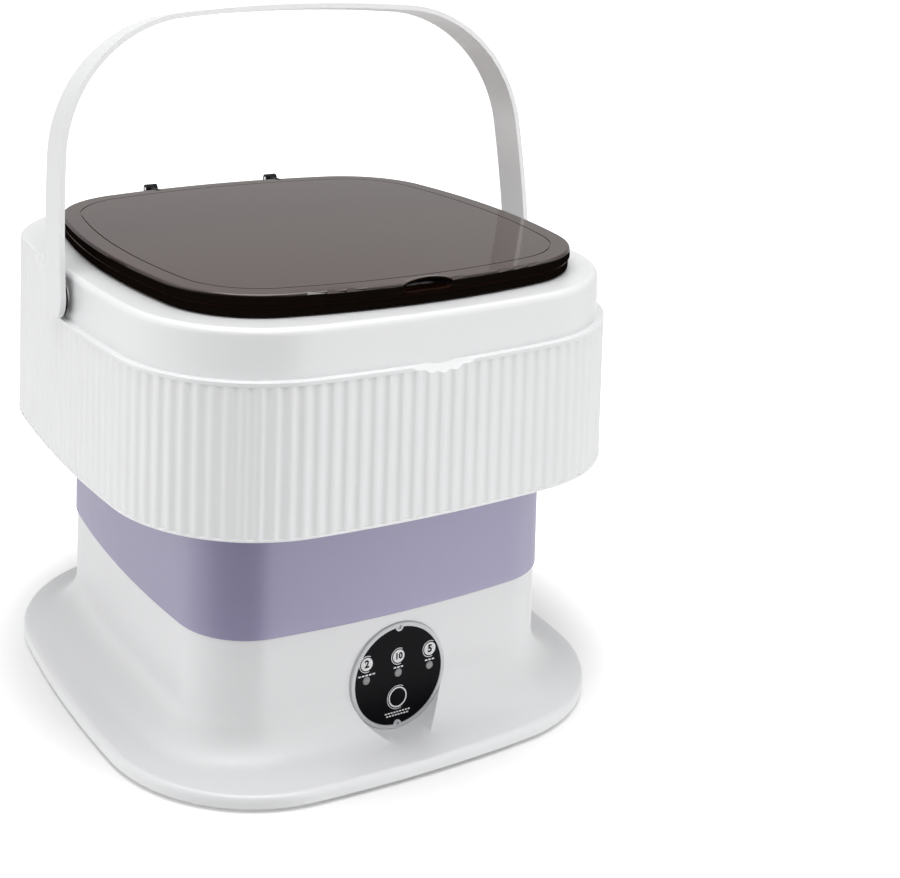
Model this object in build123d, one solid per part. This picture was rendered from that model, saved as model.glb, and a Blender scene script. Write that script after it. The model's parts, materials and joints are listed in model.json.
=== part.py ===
from build123d import *
import math
import os

# ---------------------------------------------------------------------------------------------
# Portable folding washing machine, in millimetres.
# Origin: centre of the footprint, on the ground. +Z up, control panel on -Y, lid hinge on +Y.
# Modelled standing open: the ribbed upper housing is raised and the soft tub wall is stretched.
# ---------------------------------------------------------------------------------------------

# Plan outlines: half width along X, how much each side bulges, and the corner radius
DEPTH_RATIO = 1.018                       # every outline is this much deeper than it is wide
FLANGE = (157.0, 0.19, 92.6)
TOWER = (121.2, 0.172, 42.0)
HOUSING = (160.0, 0.194, 89.3)
COLLAR = (156.0, 0.21, 85.0)
LID_HALF_X = 139.5
LID_HALF_Y = 138.8
LID_BULGE = 0.32
LID_CORNER = 62.0
LID_CENTRE_Y = -5.3

# Base shell
BASE_Z = 2.0                              # underside of the base, carried clear by the feet
RIM_Z = 9.5
RIM_ROUND = 3.5
FLARE_TOP_Z = 36.0
FLARE_RADIUS = 26.0
FLARE_END = 84.0                          # degrees of the flare's arc
FLARE_STEPS = 12
RIM_STEPS = 5
EDGE_BREAK = 1.0
TOWER_TOP_Z = 77.5
SHELL_WALL = 3.0
REBATE_GROW = -1.3
REBATE_DEPTH = 3.0

# Base cover, feet and screws
COVER_THICKNESS = 2.5
COVER_GAP = 0.6
VENT_COUNT = 5
VENT_SIZE = (60.0, 3.0, 10.0)
VENT_FIRST_Y = -70.0
VENT_PITCH = 9.0
FOOT_RADIUS = 11.0
FOOT_AT = 100.0
FOOT_PEG_RADIUS = 3.9
FOOT_PEG_TOP_Z = 6.5
COVER_SCREW_COUNT = 8
COVER_SCREW_GROW = -7.0
COVER_SCREW_TIP_Z = 18.0
BOSS_RADIUS = 5.0
SCREW_RADIUS = 1.4
PILOT_RADIUS = 1.6
CLEARANCE_RADIUS = 1.9                    # plain hole that a screw passes through
SCREW_HEAD_RADIUS = 3.2
SCREW_HEAD_HEIGHT = 1.4
SCREW_SLOT_WIDTH = 0.8

# Lower tub, the rigid bottom of the washing space
TUB_HALF_X = 107.0
TUB_BULGE = 0.17
TUB_CORNER = 38.0
TUB = (TUB_HALF_X, TUB_BULGE, TUB_CORNER)
TUB_WALL = 2.2
TUB_FLOOR_Z = 38.0
TUB_FLOOR_THICKNESS = 2.5
TUB_ROUND = 9.0
TUB_SHAFT_HOLE = 16.0
NECK_GROW = -1.6
NECK_TOP_Z = 85.0
POST_AT = 44.0
POST_RADIUS = 4.5
DRAIN_X = 62.0
DRAIN_Y = 74.0
DRAIN_BORE = 6.0
DRAIN_WALL = 2.0

# Soft tub wall
SLEEVE_GROW = 1.3
SLEEVE_WALL = 2.7
SLEEVE_TOP_Z = 236.0

# Drive: a flat motor turns a pinion, which turns the gear under the tub
SHAFT_RADIUS = 4.0
SHAFT_BOTTOM_Z = 14.0
SHAFT_TOP_Z = 57.0
RUNNING_GAP = 0.05
BRACKET_Z = 22.0
BRACKET_THICKNESS = 1.6
BRACKET_HALF_X = 52.0
BRACKET_FRONT_Y = -52.0
BRACKET_BACK_Y = 88.0
BRACKET_CORNER = 10.0
BRACKET_WINDOW_X = 30.0
BRACKET_WINDOW = (18.0, 22.0)
BRACKET_WINDOW_Y = -29.0
MOTOR_NOSE_RADIUS = 11.5
MODULE = 1.25
GEAR_TEETH = 70
PINION_TEETH = 16
PRESSURE_ANGLE = 20.0
ADDENDUM = 0.9
DEDENDUM = 1.25
BACKLASH = 0.14
GEAR_Z = 26.0
GEAR_THICKNESS = 5.0
GEAR_DISTANCE = MODULE * (GEAR_TEETH + PINION_TEETH) / 2
GEAR_WEB = 3.5
GEAR_WEB_RADII = (12.0, 37.0)
GEAR_HUB_RADIUS = 9.0
GEAR_WINDOW_COUNT = 6
GEAR_WINDOW_RADIUS = 8.0
GEAR_WINDOW_AT = 25.0
FIT_GAP = 0.01
MOTOR_RADIUS = 30.0
MOTOR_BOTTOM_Z = 6.0
MOTOR_SHAFT_RADIUS = 2.0
MOTOR_SCREW_REACH = 22.0
MOTOR_GROOVE_COUNT = 12
MOTOR_GROOVE_RADIUS = 1.5
MOTOR_GROOVE_Z = (8.0, 18.0)
BEARING_OUTER = 11.0
BEARING_HEIGHT = 7.0
BEARING_SHIELD = (6.4, 9.2)               # radii of the recess in each face
BEARING_SHIELD_DEPTH = 0.5
BEARING_FLANGE_RADIUS = 24.0
BEARING_HOUSING_Z = 33.0
SEAL_Z = 40.0
SEAL_TOP_Z = 42.5
SEAL_LIP = (5.6, 9.0)
SEAL_LIP_DEPTH = 0.8

# Impeller and the spin basket that drops over it
IMPELLER_RADIUS = 46.0
IMPELLER_Z = 43.5
IMPELLER_HUB_RADIUS = 9.0
IMPELLER_HUB_TOP_Z = 55.0
IMPELLER_EDGE = 2.5
IMPELLER_CROWN = 4.6
IMPELLER_VANES = 4
VANE_AT = 24.0
VANE_SIZE = (36.0, 6.0)
VANE_HEIGHT = 3.2
VANE_TAPER = 12.0
IMPELLER_HOLE_REACHES = (18, 25, 32, 39)
IMPELLER_SCREW_HEAD = (5.2, 2.6)
BASKET_RIM_RADIUS = 75.0
BASKET_TOP_Z = 129.0
BASKET_STEP_Z = 88.0
BASKET_BOTTOM_Z = 45.0
BASKET_FOOT_RADIUS = 51.0
BASKET_STEP_RADIUS = 69.0
BASKET_SLOTS = 40
BASKET_PANEL_EVERY = 10
UPPER_SLOT_WIDTH = 6.2
LOWER_SLOT_WIDTH = 5.8
SLOT_REACH = 18.0
BASKET_FLOOR_SLOTS = 36
FLOOR_SLOT = (22.0, 2.2, 14.0)
FOOT_NOTCH = (9.0, 4.0, 1.6)
DOME_TOP_Z = 64.4
DOME_THICKNESS = 2.2
SOCKET_RADIUS = 12.0

# Upper housing
HOUSING_BOTTOM_Z = 149.4
LEDGE_Z = 233.6
DECK_Z = 260.5
HOUSING_WALL = 2.5
DECK_THICKNESS = 3.0
RIB_COUNT = 136
RIB_DEPTH = 0.85
RIB_INSET = 0.2                           # crests sit this far inside the smooth edge beads
BOTTOM_BEAD = 1.0
LEDGE_STRIP = 2.0
TOP_ROUND = 4.0
SCOOP_RADIUS = 62.0
SCOOP_BOTTOM_Z = 228.0
SCOOP_SLOPE = 48.0                        # degrees that the finger scoop rises inwards
SCOOP_PAD_HALF_X = 30.0
SCOOP_PAD_DEPTH = 10.0

# Upper liner and the band that clamps the soft wall to it
LINER_BOTTOM_Z = 226.0
LINER_WALL = 2.2
LINER_FLANGE_HALF = 132.0
LINER_SCREW_REACH = 127.0
LINER_SCREW_ASIDE = 40.0
CLAMP_Z = 227.0
CLAMP_HEIGHT = 8.0
CLAMP_WALL = 1.2

# Lid
LID_BOTTOM_Z = 261.2
LID_SPLIT_Z = 267.4
LID_TOP_Z = 274.0
LID_TRAY_GROW = -1.0
LID_RIM_WIDTH = 11.0
LID_SKIN = 3.0
LID_GROOVE = 0.8
LID_ROUND = 1.6
LID_FRONT_Y = LID_CENTRE_Y - LID_HALF_Y
SEAL_GROWS = (-9.0, -6.0)
SEAL_HEIGHT = 1.7
SEAL_PROUD = 0.5
LID_LINE_GROWS = (-12.2, -11.4)           # shallow moulded line round the top face
LID_LINE_DEPTH = 0.35
THUMB_LIP = (17.0, 9.5, 5.2)              # half sizes of the oval lip over the thumb niche
THUMB_WALL = 1.0
THUMB_CENTRE_Z = LID_TOP_Z - 3.0
THUMB_FLOOR = 1.2

# Lid hinges
HINGE_X = 46.0
HINGE_Y = 140.5
HINGE_Z = 272.6
HINGE_WIDTH = 8.2
HINGE_RADIUS = 2.9
HINGE_PIN_RADIUS = 1.2
HINGE_ARM_WIDTH = 3.8
HINGE_ARM_LENGTH = 15.0
HINGE_ARM_GAP = 0.2
HINGE_FOOT = 1.6

# Carrying handle
HANDLE_HALF_X = 163.9
HANDLE_REACH = 164.5
HANDLE_BULGE = 0.165
HANDLE_CORNER = 88.0
HANDLE_WIDTH = 25.5
HANDLE_WALL = 3.2
HANDLE_PIVOT_Z = 247.0
HANDLE_LEAN = 7.75                        # degrees it leans back against its stop
POCKET_RADIUS = 13.6
PIVOT_PIN_RADIUS = 3.9
PIVOT_GAP = 0.08
PIVOT_BOSS_RADIUS = 6.0
PIVOT_PIN_END_X = 148.0
PIVOT_SEAT_RADIUS = 9.0
PIVOT_SEAT_DEPTH = 2.5
WASHER_RADIUS = 12.2
WASHER_THICKNESS = 1.2
WASHER_GAP = 0.15
CLIP_X = PIVOT_PIN_END_X + 2
CLIP_RADIUS = 7.0
CLIP_THICKNESS = 1.0
CLIP_MOUTH = 4.4
CLIP_GROOVE_RADIUS = 3.0

# Control panel
PANEL_Z = 40.4
PANEL_FACE_Y = -124.5
PANEL_SEAT_Y = -122.4
PANEL_BACK_Y = -119.4
BEZEL_RADIUS = 31.0
LABEL_RADIUS = 28.5
BEZEL_NOTCH_RADIUS = 2.4
BEZEL_DIMPLE_RADIUS = 1.3
BEZEL_GAP = 0.2
POCKET_WALL = 2.5
LED_RADIUS = 2.4
LED_PLACES = ((-20.9, 1.6), (0.0, 1.5), (20.9, 1.2))
BUTTON_RADIUS = 4.8
BUTTON_BELOW = -12.8
BUTTON_STEM_RADIUS = 2.4
BUTTON_TRAVEL = 0.7
BOARD_Y = -115.5
BOARD_THICKNESS = 1.6
BOARD_HALF = 24.0
BOARD_SCREW_X = 20.0
BOARD_SCREW_Z = 18.0
BOARD_POST_RADIUS = 2.6
BOARD_SCREW_RADIUS = 1.0
LAMP_HALF = 1.8
LAMP_HEIGHT = 1.4
KEY_HALF = 3.0
CONNECTOR = ((-12.0, -20.0), (-2.0, -13.0), 4.5)   # corners from the panel centre, and height
CHIP = ((4.0, 6.0), (12.0, 14.0), 1.6)

# Power inlet and drain spout, on the back
INLET_X = 0.0
INLET_Z = 52.0
INLET_RADIUS = 5.5
INLET_BORE = 2.8
INLET_PIN_RADIUS = 1.0
INLET_LENGTH = 12.0
INLET_SET_IN = 1.2
SPOUT_Z = 22.0
SPOUT_RADIUS = 7.5
SPOUT_END_Y = 150.0
SPOUT_BORE = DRAIN_BORE - 0.5
PLUG_LENGTH = 10.0
PLUG_HEAD = 3.0

# Leads
MOTOR_LEAD_RADIUS = 1.8
INLET_LEAD_RADIUS = 1.6

FAR = 400.0                               # longer than the machine, for cutting tools


# ---------------------------------------------------------------------------------------------
# Shared shapes
# ---------------------------------------------------------------------------------------------
def corner_centre(half_x, half_y, bulge, corner):
    """Centres and radii of the arcs that make one quarter of an outline."""
    side_radius = half_y / bulge
    end_radius = half_x / bulge
    side_x = half_x - side_radius
    end_y = half_y - end_radius
    inner_side = side_radius - corner
    inner_end = end_radius - corner
    gap = math.hypot(side_x, end_y)
    along = (inner_side ** 2 - inner_end ** 2 + gap ** 2) / (2 * gap)
    across = math.sqrt(inner_side ** 2 - along ** 2)
    unit_x = -side_x / gap
    unit_y = end_y / gap
    centre_x = side_x + along * unit_x - across * unit_y
    centre_y = along * unit_y + across * unit_x
    return side_radius, end_radius, side_x, end_y, centre_x, centre_y


def outline_arcs(half_x, half_y, bulge, corner, grow=0.0):
    """The eight arcs, anticlockwise from the right side: centre, radius, start angle, sweep."""
    quarter = corner_centre(half_x, half_y, bulge, corner)
    side_radius, end_radius, side_x, end_y, cx, cy = quarter
    low = math.degrees(math.atan2(cy, cx - side_x))
    high = math.degrees(math.atan2(cy - end_y, cx))
    turn = high - low
    side = side_radius + grow
    end = end_radius + grow
    tight = corner + grow
    return [
        ((side_x, 0), side, -low, 2 * low),
        ((cx, cy), tight, low, turn),
        ((0, end_y), end, high, 180 - 2 * high),
        ((-cx, cy), tight, 180 - high, turn),
        ((-side_x, 0), side, 180 - low, 2 * low),
        ((-cx, -cy), tight, 180 + low, turn),
        ((0, -end_y), end, 180 + high, 180 - 2 * high),
        ((cx, -cy), tight, 360 - high, turn),
    ]


def rounded_face(half_x, half_y, bulge, corner, grow=0.0):
    """Square with shallow curved sides and round corners; grow moves every edge outwards."""
    arcs = outline_arcs(half_x, half_y, bulge, corner, grow)
    return make_face([CenterArc(centre, radius, start, sweep) for centre, radius, start, sweep in arcs])


def outline_stations(plan, grow, count):
    """Evenly spaced points along an outline, starting at the middle of the right side."""
    half_x, bulge, corner = plan
    arcs = outline_arcs(half_x, half_x * DEPTH_RATIO, bulge, corner)
    lengths = [radius * math.radians(sweep) for _, radius, _, sweep in arcs]
    total = sum(lengths)
    points = []
    for index in range(count):
        distance = (total * index / count + lengths[0] / 2) % total
        for (centre, radius, start, sweep), length in zip(arcs, lengths):
            if distance <= length:
                angle = math.radians(start + sweep * distance / length)
                reach = radius + grow[index % len(grow)]
                points.append((centre[0] + reach * math.cos(angle), centre[1] + reach * math.sin(angle)))
                break
            distance -= length
    return points


def plan_face(plan, grow=0.0):
    half_x, bulge, corner = plan
    return rounded_face(half_x, half_x * DEPTH_RATIO, bulge, corner, grow)


def slab(plan, low_z, high_z, grow=0.0):
    """Straight-sided block with the plan outline."""
    return Pos(0, 0, low_z) * extrude(plan_face(plan, grow), high_z - low_z)


def lid_slab(low_z, high_z, grow=0.0):
    face = rounded_face(LID_HALF_X, LID_HALF_Y, LID_BULGE, LID_CORNER, grow)
    return Pos(0, LID_CENTRE_Y, low_z) * extrude(face, high_z - low_z)


def rod(x, y, low_z, high_z, radius):
    """Upright cylinder."""
    return Pos(x, y, (low_z + high_z) / 2) * Cylinder(radius, high_z - low_z)


def tube(x, y, low_z, high_z, outer, inner):
    return rod(x, y, low_z, high_z, outer) - rod(x, y, low_z - 1, high_z + 1, inner)


def rod_x(first_x, last_x, y, z, radius):
    return Pos((first_x + last_x) / 2, y, z) * Rot(0, 90, 0) * Cylinder(radius, abs(last_x - first_x))


def rod_y(x, low_y, high_y, z, radius):
    return Pos(x, (low_y + high_y) / 2, z) * Rot(90, 0, 0) * Cylinder(radius, high_y - low_y)


def block(low, high):
    """Box between two corners."""
    size = [b - a for a, b in zip(low, high)]
    middle = [(a + b) / 2 for a, b in zip(low, high)]
    return Pos(*middle) * Box(*size)


def screw(x, y, head_z, tip_z, head_side):
    """Pan-head screw along Z. head_side is -1 with the head below, +1 with the head above."""
    head_end = head_z + head_side * SCREW_HEAD_HEIGHT
    head = rod(x, y, min(head_z, head_end), max(head_z, head_end), SCREW_HEAD_RADIUS)
    shank = rod(x, y, min(head_z, tip_z), max(head_z, tip_z), SCREW_RADIUS)
    slot_low = min(head_end, head_end - head_side * SCREW_HEAD_HEIGHT / 2)
    slot = Box(SCREW_HEAD_RADIUS, SCREW_SLOT_WIDTH, SCREW_HEAD_HEIGHT / 2)
    slot = Pos(x, y, slot_low + SCREW_HEAD_HEIGHT / 4) * slot
    return head + shank - slot


# ---------------------------------------------------------------------------------------------
# Base
# ---------------------------------------------------------------------------------------------
def mixed_face(reach, grow=0.0):
    """Outline part way between the tower (reach 0) and the flange edge (full reach)."""
    full = FLANGE[0] - TOWER[0]
    if reach <= 0:
        return plan_face(TOWER, reach + grow)
    share = reach / full
    plan = [tower + (flange - tower) * share for tower, flange in zip(TOWER, FLANGE)]
    return plan_face(plan, grow)


def base_hull(inset):
    """Flange, concave flare and tower as one block; inset shrinks it evenly for the hollow."""
    full = FLANGE[0] - TOWER[0]
    radius = FLARE_RADIUS + inset
    if inset:
        rings = [(full, -inset, BASE_Z - 1)]
    else:
        rings = [(full, -EDGE_BREAK, BASE_Z), (full, 0, BASE_Z + EDGE_BREAK)]
    for step in range(RIM_STEPS + 1):
        angle = math.radians(90 * step / RIM_STEPS)
        reach = full - RIM_ROUND * (1 - math.cos(angle))
        rings.append((reach, -inset, RIM_Z - inset - RIM_ROUND * (1 - math.sin(angle))))
    for step in range(FLARE_STEPS, -1, -1):
        angle = math.radians(FLARE_END * step / FLARE_STEPS)
        rings.append((FLARE_RADIUS - radius * math.cos(angle), 0, FLARE_TOP_Z - radius * math.sin(angle)))
    rings.append((-inset, 0, TOWER_TOP_Z + inset))
    return loft([Pos(0, 0, height) * mixed_face(reach, grow) for reach, grow, height in rings], ruled=True)


def cover_screw_points():
    """Every second station, so that none falls behind the control panel."""
    return outline_stations(TOWER, (COVER_SCREW_GROW,), 2 * COVER_SCREW_COUNT)[1::2]


def base_shell():
    outer = base_hull(0.0)
    shell = outer - base_hull(SHELL_WALL)
    shell -= slab(TOWER, TOWER_TOP_Z - REBATE_DEPTH, TOWER_TOP_Z + 1, REBATE_GROW)
    bosses = [rod(x, y, BASE_Z + COVER_THICKNESS + 0.2, TUB_FLOOR_Z - 0.5, BOSS_RADIUS)
              for x, y in cover_screw_points()]
    shell += bosses
    pocket = BEZEL_RADIUS + BEZEL_GAP
    shell += rod_y(0, -FAR / 2, PANEL_BACK_Y, PANEL_Z, pocket + POCKET_WALL) & outer
    shell += rod_y(0, PANEL_SEAT_Y, PANEL_BACK_Y, PANEL_Z, pocket + POCKET_WALL)
    shell -= rod_y(0, -FAR / 2, PANEL_SEAT_Y, PANEL_Z, pocket)
    shell -= panel_holes()
    for x, z in board_screw_points():
        shell += rod_y(x, PANEL_BACK_Y, BOARD_Y, z, BOARD_POST_RADIUS)
        shell -= rod_y(x, PANEL_BACK_Y + 0.5, BOARD_Y + 1, z, BOARD_SCREW_RADIUS + 0.1)
    shell -= [rod(x, y, 0, TUB_FLOOR_Z - 8, PILOT_RADIUS) for x, y in cover_screw_points()]
    shell -= rod_y(INLET_X, DRAIN_Y, FAR / 2, INLET_Z, INLET_RADIUS + 0.1)
    shell -= rod_y(DRAIN_X, DRAIN_Y, FAR / 2, SPOUT_Z, SPOUT_RADIUS + 0.2)
    return shell


def base_cover():
    top = BASE_Z + COVER_THICKNESS
    plate = slab(FLANGE, BASE_Z, top, -SHELL_WALL - COVER_GAP)
    feet = [rod(x, y, 0, FAR, FOOT_PEG_RADIUS + 0.1) for x, y in foot_points()]
    holes = [rod(x, y, 0, FAR, CLEARANCE_RADIUS) for x, y in cover_screw_points()]
    vents = [Pos(0, VENT_FIRST_Y + VENT_PITCH * row, BASE_Z) * Box(*VENT_SIZE) for row in range(VENT_COUNT)]
    return plate - feet - holes - vents


def foot_points():
    return [(side * FOOT_AT, end * FOOT_AT) for side in (-1, 1) for end in (-1, 1)]


def rubber_feet():
    feet = []
    for x, y in foot_points():
        pad = rod(x, y, 0, BASE_Z, FOOT_RADIUS)
        pad = fillet(pad.edges().group_by(Axis.Z)[0], 0.8)
        feet.append(pad + rod(x, y, BASE_Z, FOOT_PEG_TOP_Z, FOOT_PEG_RADIUS))
    return Compound(children=feet)


def cover_screws():
    return Compound(children=[screw(x, y, BASE_Z, COVER_SCREW_TIP_Z, -1) for x, y in cover_screw_points()])


# ---------------------------------------------------------------------------------------------
# Lower tub and soft wall
# ---------------------------------------------------------------------------------------------
def post_points():
    return [(side * POST_AT, end * POST_AT) for side in (-1, 1) for end in (-1, 1)]


def lower_tub():
    body = slab(TUB, TUB_FLOOR_Z, TOWER_TOP_Z)
    body = fillet(body.edges().group_by(Axis.Z)[0], TUB_ROUND)
    hollow = slab(TUB, TUB_FLOOR_Z + TUB_FLOOR_THICKNESS, FAR, -TUB_WALL)
    hollow = fillet(hollow.edges().group_by(Axis.Z)[0], TUB_ROUND - TUB_WALL)
    shelf = slab(TOWER, TOWER_TOP_Z - REBATE_DEPTH, TOWER_TOP_Z, NECK_GROW)
    neck = slab(TOWER, TOWER_TOP_Z - 1, NECK_TOP_Z, NECK_GROW) - slab(TOWER, 0, FAR, NECK_GROW - TUB_WALL)
    tub = body + shelf + neck - hollow
    posts = [rod(x, y, BRACKET_Z + BRACKET_THICKNESS, TUB_FLOOR_Z + 1, POST_RADIUS) for x, y in post_points()]
    pilots = [rod(x, y, 0, TUB_FLOOR_Z - 1.5, PILOT_RADIUS) for x, y in post_points()]
    tub += posts
    tub -= pilots
    tub -= rod(0, 0, 0, FAR, TUB_SHAFT_HOLE)
    tub -= rod(DRAIN_X, DRAIN_Y, 0, FAR, DRAIN_BORE + DRAIN_WALL + 0.1)
    return tub


def tub_sleeve():
    outer = slab(TOWER, TOWER_TOP_Z, SLEEVE_TOP_Z, SLEEVE_GROW)
    return outer - slab(TOWER, TOWER_TOP_Z - 1, SLEEVE_TOP_Z + 1, SLEEVE_GROW - SLEEVE_WALL)


# ---------------------------------------------------------------------------------------------
# Drive
# ---------------------------------------------------------------------------------------------
def involute(base, radius):
    """Angle in radians by which an involute has turned when it reaches a radius."""
    if radius <= base:
        return 0.0
    spread = math.sqrt((radius / base) ** 2 - 1)
    return spread - math.atan(spread)


def gear_face(teeth):
    """Spur gear outline with a tooth centred on angle zero."""
    pitch = MODULE * teeth / 2
    base = pitch * math.cos(math.radians(PRESSURE_ANGLE))
    tip = pitch + ADDENDUM * MODULE
    root = pitch - DEDENDUM * MODULE
    half_tooth = math.pi / (2 * teeth) - BACKLASH / (2 * pitch)

    def flank(radius):
        return half_tooth + involute(base, pitch) - involute(base, radius)

    def at(radius, angle):
        return (radius * math.cos(angle), radius * math.sin(angle))

    edges = []
    for tooth in range(teeth):
        middle = 2 * math.pi * tooth / teeth
        after = 2 * math.pi * (tooth + 1) / teeth
        edges.append(ThreePointArc(at(root, middle - flank(root)), at(pitch, middle - flank(pitch)),
                                   at(tip, middle - flank(tip))))
        edges.append(Line(at(tip, middle - flank(tip)), at(tip, middle + flank(tip))))
        edges.append(ThreePointArc(at(tip, middle + flank(tip)), at(pitch, middle + flank(pitch)),
                                   at(root, middle + flank(root))))
        edges.append(Line(at(root, middle + flank(root)), at(root, after - flank(root))))
    return make_face(edges)


def drive_gear():
    gear = Pos(0, 0, GEAR_Z) * extrude(gear_face(GEAR_TEETH), GEAR_THICKNESS)
    web_inner, web_outer = GEAR_WEB_RADII
    gear -= tube(0, 0, GEAR_Z + GEAR_WEB, GEAR_Z + 2 * GEAR_THICKNESS, web_outer, web_inner)
    turn = 360 / GEAR_WINDOW_COUNT
    windows = [Rot(0, 0, turn * k) * rod(GEAR_WINDOW_AT, 0, 0, FAR, GEAR_WINDOW_RADIUS)
               for k in range(GEAR_WINDOW_COUNT)]
    gear += rod(0, 0, GEAR_Z - 2, GEAR_Z + GEAR_THICKNESS + 1, GEAR_HUB_RADIUS)
    return gear - windows - rod(0, 0, 0, FAR, SHAFT_RADIUS + FIT_GAP)


def drive_pinion():
    pinion = extrude(gear_face(PINION_TEETH), GEAR_THICKNESS + 2)
    pinion = Pos(0, GEAR_DISTANCE, GEAR_Z - 1) * pinion
    return pinion - rod(0, GEAR_DISTANCE, 0, FAR, MOTOR_SHAFT_RADIUS + FIT_GAP)


def drive_shaft():
    shaft = rod(0, 0, SHAFT_BOTTOM_Z, SHAFT_TOP_Z, SHAFT_RADIUS)
    return shaft - rod(0, 0, SHAFT_TOP_Z - 8, FAR, PILOT_RADIUS + 0.1)   # thread for the impeller screw


def motor_shaft():
    return rod(0, GEAR_DISTANCE, MOTOR_BOTTOM_Z + 3, GEAR_Z + GEAR_THICKNESS + 1, MOTOR_SHAFT_RADIUS)


def motor_screw_points():
    return [(MOTOR_SCREW_REACH * math.cos(a), GEAR_DISTANCE + MOTOR_SCREW_REACH * math.sin(a))
            for a in (math.radians(45 + 90 * k) for k in range(4))]


def motor_housing():
    can = rod(0, GEAR_DISTANCE, MOTOR_BOTTOM_Z, BRACKET_Z, MOTOR_RADIUS)
    can = fillet(can.edges().group_by(Axis.Z)[0], 2.0)
    groove = rod(MOTOR_RADIUS + 0.5, 0, *MOTOR_GROOVE_Z, MOTOR_GROOVE_RADIUS)
    turn = 360 / MOTOR_GROOVE_COUNT
    can -= [Pos(0, GEAR_DISTANCE, 0) * Rot(0, 0, turn * k) * groove for k in range(MOTOR_GROOVE_COUNT)]
    can -= rod(0, GEAR_DISTANCE, MOTOR_BOTTOM_Z + 2, FAR, MOTOR_SHAFT_RADIUS + RUNNING_GAP)
    return can - [rod(x, y, BRACKET_Z - 6, FAR, PILOT_RADIUS) for x, y in motor_screw_points()]


def motor_bracket():
    plate = block((-BRACKET_HALF_X, BRACKET_FRONT_Y, BRACKET_Z),
                  (BRACKET_HALF_X, BRACKET_BACK_Y, BRACKET_Z + BRACKET_THICKNESS))
    plate = fillet(plate.edges().filter_by(Axis.Z), BRACKET_CORNER)
    cup = rod(0, 0, SHAFT_BOTTOM_Z - 2.0, BRACKET_Z, BEARING_OUTER + 2)
    bracket = plate + cup - rod(0, 0, SHAFT_BOTTOM_Z - 0.5, FAR, BEARING_OUTER)
    bracket -= rod(0, GEAR_DISTANCE, 0, FAR, MOTOR_NOSE_RADIUS)
    holes = [rod(x, y, 0, FAR, CLEARANCE_RADIUS) for x, y in post_points() + motor_screw_points()]
    window = Box(*BRACKET_WINDOW, FAR)
    return bracket - holes - [Pos(side * BRACKET_WINDOW_X, BRACKET_WINDOW_Y, 0) * window for side in (-1, 1)]


def bracket_screws():
    return Compound(children=[screw(x, y, BRACKET_Z, TUB_FLOOR_Z - 4, -1) for x, y in post_points()])


def motor_screws():
    top = BRACKET_Z + BRACKET_THICKNESS
    return Compound(children=[screw(x, y, top, BRACKET_Z - 5, 1) for x, y in motor_screw_points()])


def bearing_housing():
    body = rod(0, 0, BEARING_HOUSING_Z, SEAL_TOP_Z, TUB_SHAFT_HOLE - 0.1)
    body += rod(0, 0, TUB_FLOOR_Z - 2.5, TUB_FLOOR_Z, BEARING_FLANGE_RADIUS)
    return body - rod(0, 0, 0, FAR, BEARING_OUTER)


def shaft_bearings():
    inner, outer = BEARING_SHIELD
    rings = []
    for low in (SHAFT_BOTTOM_Z - 0.5, BEARING_HOUSING_Z):
        ring = tube(0, 0, low, low + BEARING_HEIGHT, BEARING_OUTER, SHAFT_RADIUS + RUNNING_GAP)
        for face_z in (low, low + BEARING_HEIGHT):
            ring -= tube(0, 0, face_z - BEARING_SHIELD_DEPTH, face_z + BEARING_SHIELD_DEPTH, outer, inner)
        rings.append(ring)
    return Compound(children=rings)


def shaft_seal():
    ring = tube(0, 0, SEAL_Z, SEAL_TOP_Z, BEARING_OUTER, SHAFT_RADIUS + RUNNING_GAP)
    inner, outer = SEAL_LIP
    return ring - tube(0, 0, SEAL_TOP_Z - SEAL_LIP_DEPTH, FAR, outer, inner)


# ---------------------------------------------------------------------------------------------
# Impeller and basket
# ---------------------------------------------------------------------------------------------
def impeller():
    edge_z = IMPELLER_Z + IMPELLER_EDGE
    crown_z = IMPELLER_Z + IMPELLER_CROWN
    middle = (0.6 * IMPELLER_RADIUS, edge_z + 0.6 * (crown_z - edge_z))
    with BuildSketch(Plane.XZ) as half:
        with BuildLine():
            Polyline((0, crown_z), (0, IMPELLER_Z), (IMPELLER_RADIUS, IMPELLER_Z), (IMPELLER_RADIUS, edge_z))
            ThreePointArc((IMPELLER_RADIUS, edge_z), middle, (0, crown_z))
        make_face()
    wheel = revolve(half.sketch, Axis.Z)
    vane = Pos(VANE_AT, 0, IMPELLER_Z + 3.4) * extrude(SlotOverall(*VANE_SIZE), VANE_HEIGHT, taper=VANE_TAPER)
    turn = 360 / IMPELLER_VANES
    wheel += [Rot(0, 0, turn * k) * vane for k in range(IMPELLER_VANES)]
    wheel += rod(0, 0, IMPELLER_Z, IMPELLER_HUB_TOP_Z, IMPELLER_HUB_RADIUS)
    wheel -= [Rot(0, 0, turn * (k + 0.5)) * rod(reach, 0, 0, FAR, PILOT_RADIUS)
              for k in range(IMPELLER_VANES) for reach in IMPELLER_HOLE_REACHES]
    return wheel - rod(0, 0, 0, FAR, SHAFT_RADIUS + FIT_GAP)


def impeller_screw():
    radius, height = IMPELLER_SCREW_HEAD
    head = rod(0, 0, SHAFT_TOP_Z, SHAFT_TOP_Z + height, radius)
    head -= Pos(0, 0, SHAFT_TOP_Z + height) * Box(radius, 1.2, height)
    return head + rod(0, 0, SHAFT_TOP_Z - 7, SHAFT_TOP_Z, PILOT_RADIUS)


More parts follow.
